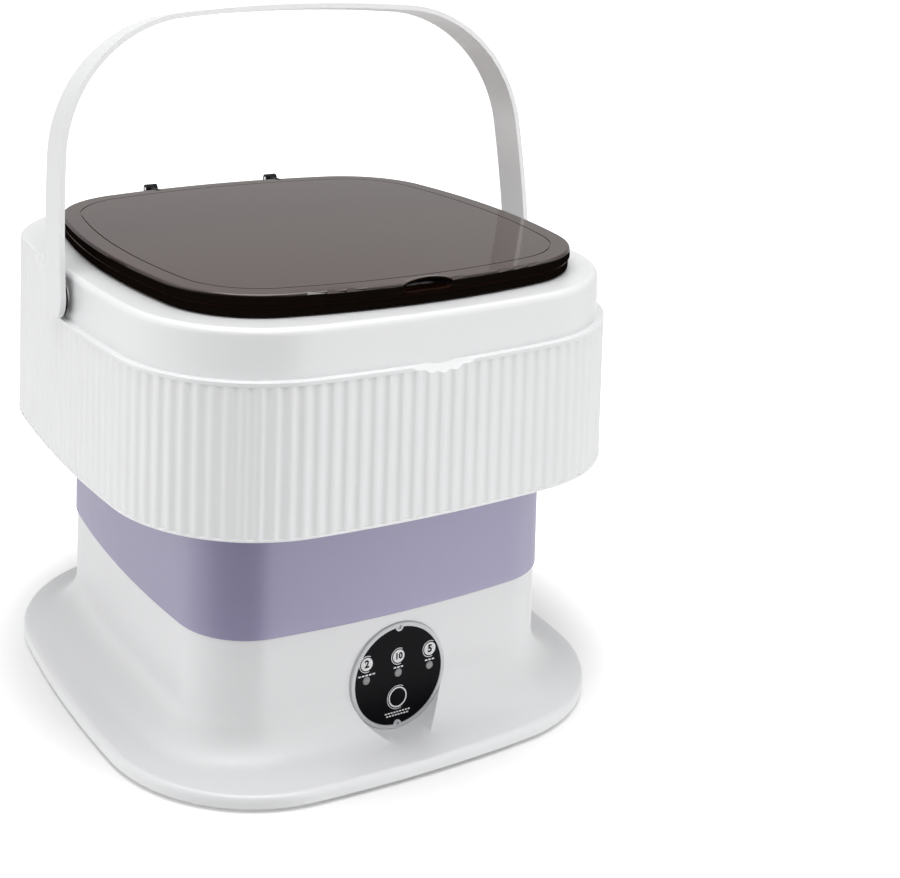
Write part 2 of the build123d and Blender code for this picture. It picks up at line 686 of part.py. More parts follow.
def basket_wall():
    """Two-tier wall with a rolled rim, turned about the centre line."""
    foot, step, rim = BASKET_FOOT_RADIUS, BASKET_STEP_RADIUS, BASKET_RIM_RADIUS
    bottom, step_z, top = BASKET_BOTTOM_Z, BASKET_STEP_Z, BASKET_TOP_Z
    outside = [(foot, bottom), (foot + 7, bottom + 2.5), (foot + 12, bottom + 10), (step - 3.5, step_z - 4),
               (step, step_z), (rim - 3, top - 5), (rim, top - 2.4), (rim, top)]
    inside = [(rim - 3, top), (rim - 5, top - 4), (step - 2, step_z + 0.8), (step - 5.5, step_z - 3.2),
              (foot + 10, bottom + 10.8), (foot + 5.8, bottom + 4.4), (foot - 1, bottom + 2.2),
              (foot, bottom)]
    with BuildSketch(Plane.XZ) as section:
        with BuildLine():
            Polyline(*outside, *inside)
        make_face()
    return revolve(section.sketch, Axis.Z)


def basket_dome():
    """Raised floor that clears the impeller, with a socket for its hub."""
    foot, bottom = BASKET_FOOT_RADIUS, BASKET_BOTTOM_Z
    under = DOME_TOP_Z - DOME_THICKNESS
    with BuildSketch(Plane.XZ) as section:
        with BuildLine():
            Spline((foot + 1, bottom), (foot - 3.4, bottom + 5.6), (32, under - 5.8), (14, under - 1.6),
                   (0, under))
            Line((0, under), (0, DOME_TOP_Z))
            Spline((0, DOME_TOP_Z), (14, DOME_TOP_Z - 1.6), (33, DOME_TOP_Z - 6), (foot - 2, bottom + 7.2),
                   (foot + 3, bottom + 2.4))
            Line((foot + 3, bottom + 2.4), (foot + 1, bottom))
        make_face()
    dome = revolve(section.sketch, Axis.Z)
    socket_low = IMPELLER_HUB_TOP_Z - 3.5
    return dome + tube(0, 0, socket_low, DOME_TOP_Z - 2.9, SOCKET_RADIUS, IMPELLER_HUB_RADIUS + 0.25)


def drain_basket():
    basket = basket_wall() + basket_dome()
    tiers = [
        (BASKET_STEP_Z + 5, BASKET_TOP_Z - 8, BASKET_STEP_RADIUS + 1, UPPER_SLOT_WIDTH),
        (BASKET_BOTTOM_Z + 14, BASKET_STEP_Z - 7, BASKET_STEP_RADIUS - 5, LOWER_SLOT_WIDTH),
    ]
    cuts = []
    for tier, (low, high, radius, width) in enumerate(tiers):
        slot = Pos(radius, 0, (low + high) / 2) * Box(SLOT_REACH, width, high - low)
        for k in range(BASKET_SLOTS):
            if tier == 0 or k % BASKET_PANEL_EVERY > 1:
                cuts.append(Rot(0, 0, 360 * k / BASKET_SLOTS) * slot)
    floor_slot = Pos(32, 0, BASKET_BOTTOM_Z + 11) * Box(*FLOOR_SLOT)
    notch = Pos(BASKET_FOOT_RADIUS + 2, 0, BASKET_BOTTOM_Z) * Box(*FOOT_NOTCH)
    for k in range(BASKET_FLOOR_SLOTS):
        turn = Rot(0, 0, 360 * (k + 0.5) / BASKET_FLOOR_SLOTS)
        cuts.append(turn * floor_slot)
        if k % 2 == 0:
            cuts.append(turn * notch)
    return basket - cuts


# ---------------------------------------------------------------------------------------------
# Upper housing
# ---------------------------------------------------------------------------------------------
def ribbed_face():
    """Housing outline as a wave of round ribs and round hollows."""
    wave = [-RIB_INSET - RIB_DEPTH * share for share in (0.0, 0.5, 1.0, 0.5)]
    points = outline_stations(HOUSING, wave, RIB_COUNT * len(wave))
    count = len(points)
    edges = []
    for middle in range(0, count, 2):
        edges.append(ThreePointArc(points[middle - 1], points[middle], points[(middle + 1) % count]))
    return make_face(edges)


def handle_recess():
    """Space outside the collar where the folded handle lies, open to the front."""
    top = FAR
    front = block((-FAR, -FAR, LEDGE_Z), (FAR, 0, top))
    behind = block((-FAR, -1, HANDLE_PIVOT_Z), (FAR, POCKET_RADIUS, top))
    round_end = rod_x(-FAR, FAR, 0, LEDGE_Z + POCKET_RADIUS, POCKET_RADIUS)
    return front + behind + round_end - slab(COLLAR, 0, 2 * FAR)


def finger_scoop():
    """Sloping round hollow in the middle of the front ledge, outside the collar."""
    front = HOUSING[0] * DEPTH_RATIO
    cutter = Pos(0, 0, SCOOP_RADIUS) * Rot(90, 0, 0) * Cylinder(SCOOP_RADIUS, SCOOP_PAD_DEPTH * 4)
    cutter = Pos(0, -front, SCOOP_BOTTOM_Z) * Rot(SCOOP_SLOPE, 0, 0) * cutter
    return cutter - slab(COLLAR, 0, 2 * FAR)


def housing_shell():
    envelope = slab(HOUSING, HOUSING_BOTTOM_Z, DECK_Z)
    envelope = fillet(envelope.edges().group_by(Axis.Z)[-1], TOP_ROUND - 1)
    ribbed = Pos(0, 0, HOUSING_BOTTOM_Z) * extrude(ribbed_face(), DECK_Z - HOUSING_BOTTOM_Z)
    body = ribbed & envelope
    body += slab(HOUSING, HOUSING_BOTTOM_Z, HOUSING_BOTTOM_Z + BOTTOM_BEAD)
    body += slab(HOUSING, LEDGE_Z - LEDGE_STRIP, LEDGE_Z) & block((-FAR, -FAR, 0), (FAR, 0, FAR))
    body -= handle_recess()
    collar = slab(COLLAR, LEDGE_Z - 1, DECK_Z)
    collar = fillet(collar.edges().group_by(Axis.Z)[-1], TOP_ROUND)
    body -= block((-FAR, -FAR, DECK_Z - TOP_ROUND - 0.5), (FAR, POCKET_RADIUS, FAR)) - collar
    body -= housing_hollow()
    front = HOUSING[0] * DEPTH_RATIO
    body += block((-SCOOP_PAD_HALF_X, 2 - front, SCOOP_BOTTOM_Z - 4),
                  (SCOOP_PAD_HALF_X, SCOOP_PAD_DEPTH - front, LEDGE_Z - 1))
    body -= finger_scoop()
    for side in (-1, 1):
        inner = side * (COLLAR[0] - HOUSING_WALL)
        body += rod_x(inner, inner - side * PIVOT_SEAT_DEPTH, 0, HANDLE_PIVOT_Z, PIVOT_SEAT_RADIUS)
        body -= rod_x(side * LINER_FLANGE_HALF, side * FAR, 0, HANDLE_PIVOT_Z, PIVOT_PIN_RADIUS + PIVOT_GAP)
    for x, y in liner_screw_points():
        body -= rod(x, y, DECK_Z - DECK_THICKNESS - 1, DECK_Z - 1.0, PILOT_RADIUS)
    return body


def housing_hollow():
    """Inside of the housing: the skirt, the collar, the deck's back part and the washing space."""
    under_ledge = LEDGE_Z - HOUSING_WALL
    under_deck = DECK_Z - DECK_THICKNESS
    skirt_grow = -RIB_INSET - RIB_DEPTH - HOUSING_WALL
    hollow = slab(HOUSING, 0, under_ledge, skirt_grow)
    hollow += slab(COLLAR, under_ledge - 1, under_deck, -HOUSING_WALL)
    back = slab(HOUSING, under_ledge - 1, under_deck, skirt_grow)
    hollow += back - block((-FAR, -FAR, 0), (FAR, POCKET_RADIUS + HOUSING_WALL, FAR))
    return hollow + slab(TOWER, under_ledge, FAR, NECK_GROW + 0.4)


def liner_screw_points():
    reach, aside = LINER_SCREW_REACH, LINER_SCREW_ASIDE
    ends = [(side * reach, end * aside) for side in (-1, 1) for end in (-1, 1)]
    return ends + [(y, x) for x, y in ends]


def inner_liner():
    flange_top = DECK_Z - DECK_THICKNESS
    grow = LINER_FLANGE_HALF - TOWER[0]
    liner = slab(TOWER, LINER_BOTTOM_Z, DECK_Z, NECK_GROW)
    liner += slab(TOWER, flange_top - LINER_WALL, flange_top, grow)
    liner -= slab(TOWER, 0, FAR, NECK_GROW - LINER_WALL)
    return liner - [rod(x, y, 0, FAR, CLEARANCE_RADIUS) for x, y in liner_screw_points()]


def liner_screws():
    seat = DECK_Z - DECK_THICKNESS - LINER_WALL
    return Compound(children=[screw(x, y, seat, DECK_Z - 1.4, -1) for x, y in liner_screw_points()])


def clamp_band():
    grow = SLEEVE_GROW + 0.05
    band = slab(TOWER, CLAMP_Z, CLAMP_Z + CLAMP_HEIGHT, grow + CLAMP_WALL)
    return band - slab(TOWER, 0, FAR, grow)


# ---------------------------------------------------------------------------------------------
# Lid and hinges
# ---------------------------------------------------------------------------------------------
def hinge_arm(x, gap=0.0):
    half = HINGE_ARM_WIDTH / 2 + gap
    front_y = HINGE_Y - HINGE_ARM_LENGTH - gap
    arm = block((x - half, front_y, LID_BOTTOM_Z + 2), (x + half, HINGE_Y, LID_TOP_Z))
    return arm + rod_x(x - half, x + half, HINGE_Y, HINGE_Z, HINGE_RADIUS)


def thumb_oval(grow=0.0):
    """Oval solid in the middle of the lid's front edge; its upper half rises out of the top face."""
    oval = scale(Sphere(1), tuple(half + grow for half in THUMB_LIP))
    return Pos(0, LID_FRONT_Y, THUMB_CENTRE_Z) * oval


def lid_cover():
    solid = lid_slab(LID_SPLIT_Z, LID_TOP_Z)
    solid = fillet(solid.edges().group_by(Axis.Z)[-1], LID_ROUND)
    solid = chamfer(solid.edges().group_by(Axis.Z)[0], LID_GROOVE)
    cover = solid - lid_slab(LID_SPLIT_Z - 1, LID_TOP_Z - LID_SKIN, -LID_RIM_WIDTH)
    inner, outer = LID_LINE_GROWS
    cover -= lid_slab(LID_TOP_Z - LID_LINE_DEPTH, FAR, outer) - lid_slab(0, FAR, inner)
    cover += thumb_oval() & lid_slab(LID_SPLIT_Z + LID_GROOVE, FAR)
    cover -= thumb_oval(-THUMB_WALL) & lid_slab(LID_SPLIT_Z + THUMB_FLOOR, FAR, 2)
    return cover - [hinge_arm(side * HINGE_X, RUNNING_GAP) for side in (-1, 1)]


def lid_tray():
    tray = lid_slab(LID_BOTTOM_Z, LID_SPLIT_Z, LID_TRAY_GROW)
    tray = chamfer(tray.edges().group_by(Axis.Z)[-1], LID_GROOVE)
    tray = fillet(tray.edges().group_by(Axis.Z)[0], 1.4)
    tray -= lid_slab(0, FAR, LID_TRAY_GROW - LID_RIM_WIDTH - 1)
    tray -= lid_seal()
    return tray - [hinge_arm(side * HINGE_X, RUNNING_GAP) for side in (-1, 1)]


def lid_seal():
    inner, outer = SEAL_GROWS
    low = LID_BOTTOM_Z - SEAL_PROUD
    return lid_slab(low, low + SEAL_HEIGHT, outer) - lid_slab(0, FAR, inner)


def lid_hinge_arms():
    hole = rod_x(-FAR, FAR, HINGE_Y, HINGE_Z, HINGE_PIN_RADIUS + RUNNING_GAP)
    return Compound(children=[hinge_arm(side * HINGE_X) - hole for side in (-1, 1)])


def hinge_brackets():
    half = HINGE_WIDTH / 2
    ear = block((-half, HINGE_Y - HINGE_RADIUS, DECK_Z), (half, HINGE_Y + HINGE_RADIUS, HINGE_Z))
    ear += rod_x(-half, half, HINGE_Y, HINGE_Z, HINGE_RADIUS)
    room = HINGE_ARM_WIDTH / 2 + HINGE_ARM_GAP
    ear -= block((-room, 0, DECK_Z + HINGE_FOOT), (room, FAR, FAR))
    ear -= rod_x(-FAR, FAR, HINGE_Y, HINGE_Z, HINGE_PIN_RADIUS)
    return Compound(children=[Pos(side * HINGE_X, 0, 0) * ear for side in (-1, 1)])


def hinge_pins():
    half = HINGE_WIDTH / 2
    pin = rod_x(-half, half, HINGE_Y, HINGE_Z, HINGE_PIN_RADIUS)
    return Compound(children=[Pos(side * HINGE_X, 0, 0) * pin for side in (-1, 1)])


# ---------------------------------------------------------------------------------------------
# Handle
# ---------------------------------------------------------------------------------------------
def lean(shape):
    """Turn a shape made upright about the pivot line into the handle's resting lean."""
    return Pos(0, 0, HANDLE_PIVOT_Z) * Rot(-HANDLE_LEAN, 0, 0) * shape


def handle_pivot():
    """Boss, pin and clip groove inside the left end of the upright handle."""
    boss_end = -COLLAR[0] - 2 * WASHER_GAP
    pivot = rod_x(HANDLE_WALL - HANDLE_HALF_X - 1, boss_end, 0, 0, PIVOT_BOSS_RADIUS)
    pivot += rod_x(boss_end, -PIVOT_PIN_END_X, 0, 0, PIVOT_PIN_RADIUS)
    groove = rod_x(-CLIP_X - 0.6, -CLIP_X + 0.6, 0, 0, PIVOT_PIN_RADIUS + 1)
    return pivot - (groove - rod_x(-FAR, FAR, 0, 0, CLIP_GROOVE_RADIUS))


def handle_band():
    """Hoop with round ends, made as its left half and mirrored."""
    size = (HANDLE_HALF_X, HANDLE_REACH, HANDLE_BULGE, HANDLE_CORNER)
    half = HANDLE_WIDTH / 2
    hoop = extrude(rounded_face(*size) - rounded_face(*size, grow=-HANDLE_WALL), half, both=True)
    keep = block((-FAR, -half, 0), (0, half, FAR)) + rod_x(-FAR, 0, 0, 0, half)
    left = (Rot(90, 0, 0) * hoop & keep) + handle_pivot()
    return lean(left + mirror(left, Plane.YZ))


def handle_washers():
    """Friction washers on the pivot bosses, against the inner faces of the handle."""
    outer = HANDLE_HALF_X - HANDLE_WALL - WASHER_GAP
    inner = outer - WASHER_THICKNESS
    bore = rod_x(-FAR, FAR, 0, HANDLE_PIVOT_Z, PIVOT_BOSS_RADIUS + RUNNING_GAP)
    return Compound(children=[
        rod_x(side * inner, side * outer, 0, HANDLE_PIVOT_Z, WASHER_RADIUS) - bore for side in (-1, 1)])


def handle_clips():
    half = CLIP_THICKNESS / 2
    ring = rod_x(-half, half, 0, 0, CLIP_RADIUS) - rod_x(-FAR, FAR, 0, 0, CLIP_GROOVE_RADIUS + RUNNING_GAP)
    ring -= block((-FAR, -CLIP_MOUTH / 2, -FAR), (FAR, CLIP_MOUTH / 2, 0))
    return Compound(children=[lean(Pos(side * CLIP_X, 0, 0) * ring) for side in (-1, 1)])


# ---------------------------------------------------------------------------------------------
# Control panel and electrics
# ---------------------------------------------------------------------------------------------
def board_screw_points():
    return [(side * BOARD_SCREW_X, PANEL_Z + end * BOARD_SCREW_Z) for side in (-1, 1) for end in (-1, 1)]


def panel_holes():
    button_z = PANEL_Z + BUTTON_BELOW
    holes = [rod_y(x, -FAR, PANEL_BACK_Y + 1, PANEL_Z + up, LED_RADIUS + 0.1) for x, up in LED_PLACES]
    holes.append(rod_y(0, -FAR, PANEL_BACK_Y - 0.8, button_z, BUTTON_RADIUS + 0.2))
    holes.append(rod_y(0, -FAR, PANEL_BACK_Y + 1, button_z, BUTTON_STEM_RADIUS + 0.3))
    return holes


def panel_bezel():
    """Ring with a round tab at the top and bottom, pointing in, each with a dimple."""
    ring = rod_y(0, PANEL_FACE_Y, PANEL_SEAT_Y, PANEL_Z, BEZEL_RADIUS)
    ring = fillet(ring.edges().group_by(Axis.Y)[0], 0.8)
    ring -= rod_y(0, -FAR, FAR, PANEL_Z, LABEL_RADIUS + 0.1)
    for side in (-1, 1):
        middle = PANEL_Z + side * LABEL_RADIUS
        ring += rod_y(0, PANEL_FACE_Y + 0.2, PANEL_SEAT_Y, middle, BEZEL_NOTCH_RADIUS)
        ring -= rod_y(0, -FAR, PANEL_FACE_Y + 1, middle, BEZEL_DIMPLE_RADIUS)
    return ring


def panel_label():
    disc = rod_y(0, PANEL_FACE_Y + 0.5, PANEL_SEAT_Y, PANEL_Z, LABEL_RADIUS)
    disc -= [rod_y(0, -FAR, FAR, PANEL_Z + side * LABEL_RADIUS, BEZEL_NOTCH_RADIUS + 0.1) for side in (-1, 1)]
    return disc - panel_holes()


def led_lenses():
    lenses = []
    for x, up in LED_PLACES:
        lens = rod_y(x, PANEL_FACE_Y + 0.3, PANEL_BACK_Y + 0.4, PANEL_Z + up, LED_RADIUS)
        lenses.append(fillet(lens.edges().group_by(Axis.Y)[0], 0.5))
    return Compound(children=lenses)


def switch_button():
    z = PANEL_Z + BUTTON_BELOW
    cap = rod_y(0, PANEL_FACE_Y + 0.2, PANEL_BACK_Y - 1.6, z, BUTTON_RADIUS)
    cap = fillet(cap.edges().group_by(Axis.Y)[0], 0.5)
    return cap + rod_y(0, PANEL_BACK_Y - 1.6, PANEL_BACK_Y + BUTTON_TRAVEL, z, BUTTON_STEM_RADIUS)


def control_board():
    back = BOARD_Y + BOARD_THICKNESS
    board = block((-BOARD_HALF, BOARD_Y, PANEL_Z - BOARD_HALF), (BOARD_HALF, back, PANEL_Z + BOARD_HALF))
    board -= [rod_y(x, -FAR, FAR, z, BOARD_SCREW_RADIUS + 0.3) for x, z in board_screw_points()]
    lamp = Box(2 * LAMP_HALF, LAMP_HEIGHT, 2 * LAMP_HALF)
    board += [Pos(x, BOARD_Y - LAMP_HEIGHT / 2, PANEL_Z + up) * lamp for x, up in LED_PLACES]
    key_z = PANEL_Z + BUTTON_BELOW
    key_y = PANEL_BACK_Y + 2 * BUTTON_TRAVEL + 0.1
    board += block((-KEY_HALF, key_y, key_z - KEY_HALF), (KEY_HALF, BOARD_Y, key_z + KEY_HALF))
    for (low_x, low_up), (high_x, high_up), height in (CONNECTOR, CHIP):
        board += block((low_x, back, PANEL_Z + low_up), (high_x, back + height, PANEL_Z + high_up))
    return board


def board_screws():
    back = BOARD_Y + BOARD_THICKNESS
    screws = []
    for x, z in board_screw_points():
        shank = rod_y(x, PANEL_BACK_Y + 0.8, back, z, BOARD_SCREW_RADIUS)
        screws.append(rod_y(x, back, back + 1.2, z, 2.2 * BOARD_SCREW_RADIUS) + shank)
    return Compound(children=screws)


def power_inlet():
    wall_y = TOWER[0] * DEPTH_RATIO
    body = rod_y(INLET_X, wall_y - INLET_LENGTH, wall_y - INLET_SET_IN, INLET_Z, INLET_RADIUS)
    body += rod_y(INLET_X, wall_y - 5.5, wall_y - 4.4, INLET_Z, INLET_RADIUS + 2)
    body -= rod_y(INLET_X, wall_y - 9, FAR, INLET_Z, INLET_BORE)
    return body + rod_y(INLET_X, wall_y - 10, wall_y - 3, INLET_Z, INLET_PIN_RADIUS)


def drain_spout():
    outer = DRAIN_BORE + DRAIN_WALL
    run = rod(DRAIN_X, DRAIN_Y, SPOUT_Z, TUB_FLOOR_Z + 1.5, outer)
    run += rod(DRAIN_X, DRAIN_Y, TUB_FLOOR_Z - 2, TUB_FLOOR_Z, outer + 4)
    run += Pos(DRAIN_X, DRAIN_Y, SPOUT_Z) * Sphere(outer)
    run += rod_y(DRAIN_X, DRAIN_Y, SPOUT_END_Y, SPOUT_Z, SPOUT_RADIUS)
    run += rod_y(DRAIN_X, SPOUT_END_Y - 2, SPOUT_END_Y, SPOUT_Z, SPOUT_RADIUS + 0.8)
    run -= rod(DRAIN_X, DRAIN_Y, SPOUT_Z, FAR, DRAIN_BORE)
    run -= Pos(DRAIN_X, DRAIN_Y, SPOUT_Z) * Sphere(DRAIN_BORE)
    return run - rod_y(DRAIN_X, DRAIN_Y, FAR, SPOUT_Z, SPOUT_BORE)


def drain_plug():
    plug = rod_y(DRAIN_X, SPOUT_END_Y, SPOUT_END_Y + PLUG_HEAD, SPOUT_Z, SPOUT_RADIUS + 1)
    plug = fillet(plug.edges().group_by(Axis.Y)[-1], 1.0)
    return plug + rod_y(DRAIN_X, SPOUT_END_Y - PLUG_LENGTH, SPOUT_END_Y, SPOUT_Z, SPOUT_BORE - RUNNING_GAP)


def wire(points, radius):
    path = Spline(*points)
    start = Plane(origin=path @ 0, z_dir=path % 0)
    return sweep(start * Circle(radius), path=path)


def wiring_harness():
    """Leads from the board to the motor and to the power inlet, lying low inside the base."""
    start_y = BOARD_Y + BOARD_THICKNESS + CONNECTOR[2] + 2
    inlet_y = TOWER[0] * DEPTH_RATIO - 9
    lying_z = BASE_Z + COVER_THICKNESS + 5.5
    motor_lead = wire([
        (-7, start_y, PANEL_Z - 16.5), (-12, -98, 18), (-24, -60, lying_z), (-26, 0, lying_z),
        (-26, GEAR_DISTANCE - MOTOR_RADIUS - 2, lying_z)], MOTOR_LEAD_RADIUS)
    inlet_lead = wire([
        (-12, start_y, PANEL_Z - 22), (-40, -94, 14), (-84, -50, lying_z), (-88, 40, lying_z), (-50, 96, 14),
        (INLET_X, inlet_y, 30), (INLET_X, inlet_y, INLET_Z - INLET_RADIUS - 0.5)], INLET_LEAD_RADIUS)
    return Compound(children=[motor_lead, inlet_lead])


# ---------------------------------------------------------------------------------------------
# Write one file per piece
# ---------------------------------------------------------------------------------------------
PIECES = {
    "base_shell": base_shell,
    "base_cover": base_cover,
    "rubber_feet": rubber_feet,
    "cover_screws": cover_screws,
    "lower_tub": lower_tub,
    "tub_sleeve": tub_sleeve,
    "motor_housing": motor_housing,
    "motor_bracket": motor_bracket,
    "bracket_screws": bracket_screws,
    "motor_screws": motor_screws,
    "motor_shaft": motor_shaft,
    "drive_pinion": drive_pinion,
    "drive_gear": drive_gear,
    "drive_shaft": drive_shaft,
    "bearing_housing": bearing_housing,
    "shaft_bearings": shaft_bearings,
    "shaft_seal": shaft_seal,
    "impeller": impeller,
    "impeller_screw": impeller_screw,
    "drain_basket": drain_basket,
    "control_board": control_board,
    "board_screws": board_screws,
    "panel_bezel": panel_bezel,
    "panel_label": panel_label,
    "led_lenses": led_lenses,
    "switch_button": switch_button,
    "power_inlet": power_inlet,
    "drain_spout": drain_spout,
    "drain_plug": drain_plug,
    "wiring_harness": wiring_harness,
    "housing_shell": housing_shell,
    "inner_liner": inner_liner,
    "liner_screws": liner_screws,
    "clamp_band": clamp_band,
    "lid_cover": lid_cover,
    "lid_tray": lid_tray,
    "lid_seal": lid_seal,
    "lid_hinge_arms": lid_hinge_arms,
    "hinge_brackets": hinge_brackets,
    "hinge_pins": hinge_pins,
    "handle_band": handle_band,
    "handle_washers": handle_washers,
    "handle_clips": handle_clips,
}

os.makedirs("parts", exist_ok=True)
for name, make in PIECES.items():
    export_step(make(), f"parts/{name}.step")
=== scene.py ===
import json
import math

import bmesh
import bpy
from mathutils import Matrix, Vector


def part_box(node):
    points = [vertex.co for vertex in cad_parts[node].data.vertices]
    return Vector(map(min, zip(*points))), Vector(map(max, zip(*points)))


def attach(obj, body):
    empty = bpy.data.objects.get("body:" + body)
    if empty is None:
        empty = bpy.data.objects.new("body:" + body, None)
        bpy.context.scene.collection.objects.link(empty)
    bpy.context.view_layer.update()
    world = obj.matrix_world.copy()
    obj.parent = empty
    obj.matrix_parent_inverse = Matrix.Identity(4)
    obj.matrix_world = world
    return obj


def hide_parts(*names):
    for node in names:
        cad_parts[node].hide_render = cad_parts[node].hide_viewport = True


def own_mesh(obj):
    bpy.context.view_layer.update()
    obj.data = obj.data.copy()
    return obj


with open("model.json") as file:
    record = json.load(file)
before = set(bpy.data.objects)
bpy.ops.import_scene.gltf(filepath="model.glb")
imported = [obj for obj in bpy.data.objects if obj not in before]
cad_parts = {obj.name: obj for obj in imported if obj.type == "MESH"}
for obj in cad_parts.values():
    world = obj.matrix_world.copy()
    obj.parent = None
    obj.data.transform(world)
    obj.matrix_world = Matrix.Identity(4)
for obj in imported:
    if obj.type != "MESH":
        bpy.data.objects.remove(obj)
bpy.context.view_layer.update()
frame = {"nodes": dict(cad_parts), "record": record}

MM = 0.001


# ---------------------------------------------------------------------------------------------
# Node helpers
# ---------------------------------------------------------------------------------------------
class Shader:
    """A material's node tree with short calls for the nodes used here."""

    def __init__(self, name):
        self.material = bpy.data.materials.new(name)
        self.material.use_nodes = True
        self.nodes = self.material.node_tree.nodes
        self.links = self.material.node_tree.links
        self.surface = self.nodes["Principled BSDF"]
        self.place = self.nodes.new("ShaderNodeTexCoord").outputs["Object"]

    def set(self, **values):
        """Values of the surface's inputs, with an underscore for each space in their names."""
        for name, value in values.items():
            self.surface.inputs[name.replace("_", " ")].default_value = value

    def link(self, source, socket):
        self.links.new(source, self.surface.inputs[socket])

    def noise(self, scale, detail=3.0, stretch=(1, 1, 1)):
        """Soft noise from 0 to 1. A scale of 100 has about 100 blots to the metre."""
        mapping = self.nodes.new("ShaderNodeMapping")
        mapping.inputs["Scale"].default_value = stretch
        self.links.new(self.place, mapping.inputs["Vector"])
        node = self.nodes.new("ShaderNodeTexNoise")
        node.inputs["Scale"].default_value = scale
        node.inputs["Detail"].default_value = detail
        self.links.new(mapping.outputs["Vector"], node.inputs["Vector"])
        return node.outputs["Fac"]

    def spread(self, fac, low, high):
        """Maps a 0 to 1 value on to low to high."""
        node = self.nodes.new("ShaderNodeMapRange")
        node.inputs["To Min"].default_value = low
        node.inputs["To Max"].default_value = high
        self.links.new(fac, node.inputs["Value"])
        return node.outputs["Result"]

    def colours(self, fac, first, second, low=0.3, high=0.7):
        """First colour up to low, second colour from high, and a blend between them."""
        ramp = self.nodes.new("ShaderNodeValToRGB")
        ramp.color_ramp.elements[0].position = low
        ramp.color_ramp.elements[0].color = (*first, 1)
        ramp.color_ramp.elements[1].position = high
        ramp.color_ramp.elements[1].color = (*second, 1)
        self.links.new(fac, ramp.inputs["Fac"])
        return ramp.outputs["Color"]

    def bump(self, height, strength, distance):
        node = self.nodes.new("ShaderNodeBump")
        node.inputs["Strength"].default_value = strength
        node.inputs["Distance"].default_value = distance
        self.links.new(height, node.inputs["Height"])
        self.link(node.outputs["Normal"], "Normal")


# ---------------------------------------------------------------------------------------------
# Materials. Noise scales count blots to the metre, and grain and scratch depths are in metres.
# ---------------------------------------------------------------------------------------------
PLASTIC_CLOUDS = 9.0
PLASTIC_GLOSS = 60.0
PLASTIC_GLOSS_SPREAD = 0.05
PLASTIC_GRAIN = 2600.0
PLASTIC_GRAIN_STRENGTH = 0.35
PLASTIC_IOR = 1.49

SOFT_FLOW = 16.0
SOFT_FLOW_STRETCH = (1, 1, 0.25)
SOFT_FLOW_DRIFT = 0.035
SOFT_GLOSS = 90.0
SOFT_ROUGHNESS = (0.34, 0.42)
SOFT_GRAIN = 1500.0
SOFT_GRAIN_DEPTH = 0.02 * MM
SOFT_GLOW_DEPTH = 4 * MM

# Painted light and shade on the lid by facing: brown on the top for light through the plastic, near black on
# the sides, and shine on the top only
SMOKE_SIDE_SHADE = (0.006, 0.004, 0.003)
SMOKE_TOP_LIGHT = (0.042, 0.017, 0.011)
SMOKE_SHADE_BLEND = (0.2, 0.95)
SMOKE_SHINE_BY_FACING = (0.0, 0.45)
SMOKE_GLOSS = 140.0
SMOKE_ROUGHNESS = (0.045, 0.085)
SMOKE_WAVES = 28.0
SMOKE_WAVE_DEPTH = 0.4 * MM

METAL_LINES = 420.0
METAL_LINE_DEPTH = 0.03 * MM
METAL_DRIFT = 0.18

TRACK_SCALE = 260.0
TRACK_EDGES = (0.02, 0.06)
TRACK_HEIGHT = 0.03 * MM
TRACK_GREEN = (0.03, 0.20, 0.07)
RESIST_GREEN = (0.008, 0.07, 0.03)

LENS_DARK = (0.16, 0.16, 0.165)
LENS_LIGHT = (0.23, 0.23, 0.235)
INK_DRIFT = 0.1
INK_ROUGHNESS = (0.45, 0.6)


def darker(colour, drift):
    return [part * (1 - drift) for part in colour]


def moulded(name, colour, roughness, grain=0.012 * MM, drift=0.02, shine=0.5):
    """Injection-moulded plastic: a faint drift of colour, uneven gloss and a fine spark-eroded grain."""
    shader = Shader(name)
    clouds = shader.noise(PLASTIC_CLOUDS, 2.0)
    gloss = shader.noise(PLASTIC_GLOSS, 4.0)
    smoothest, roughest = roughness - PLASTIC_GLOSS_SPREAD, roughness + PLASTIC_GLOSS_SPREAD
    shader.link(shader.colours(clouds, darker(colour, drift), colour), "Base Color")
    shader.link(shader.spread(gloss, smoothest, roughest), "Roughness")
    shader.bump(shader.noise(PLASTIC_GRAIN, 2.0), PLASTIC_GRAIN_STRENGTH, grain)
    shader.set(IOR=PLASTIC_IOR, Specular_IOR_Level=shine)
    return shader.material


def soft_wall(name, colour):
    """Thermoplastic rubber: silky, slightly see-through at the surface, with faint flow marks."""
    shader = Shader(name)
    flow = shader.noise(SOFT_FLOW, 4.0, SOFT_FLOW_STRETCH)
    shader.link(shader.colours(flow, darker(colour, SOFT_FLOW_DRIFT), colour), "Base Color")
    shader.link(shader.spread(shader.noise(SOFT_GLOSS), *SOFT_ROUGHNESS), "Roughness")
    shader.bump(shader.noise(SOFT_GRAIN), 0.25, SOFT_GRAIN_DEPTH)
    shader.set(IOR=1.55, Subsurface_Weight=0.08, Subsurface_Scale=SOFT_GLOW_DEPTH)
    return shader.material


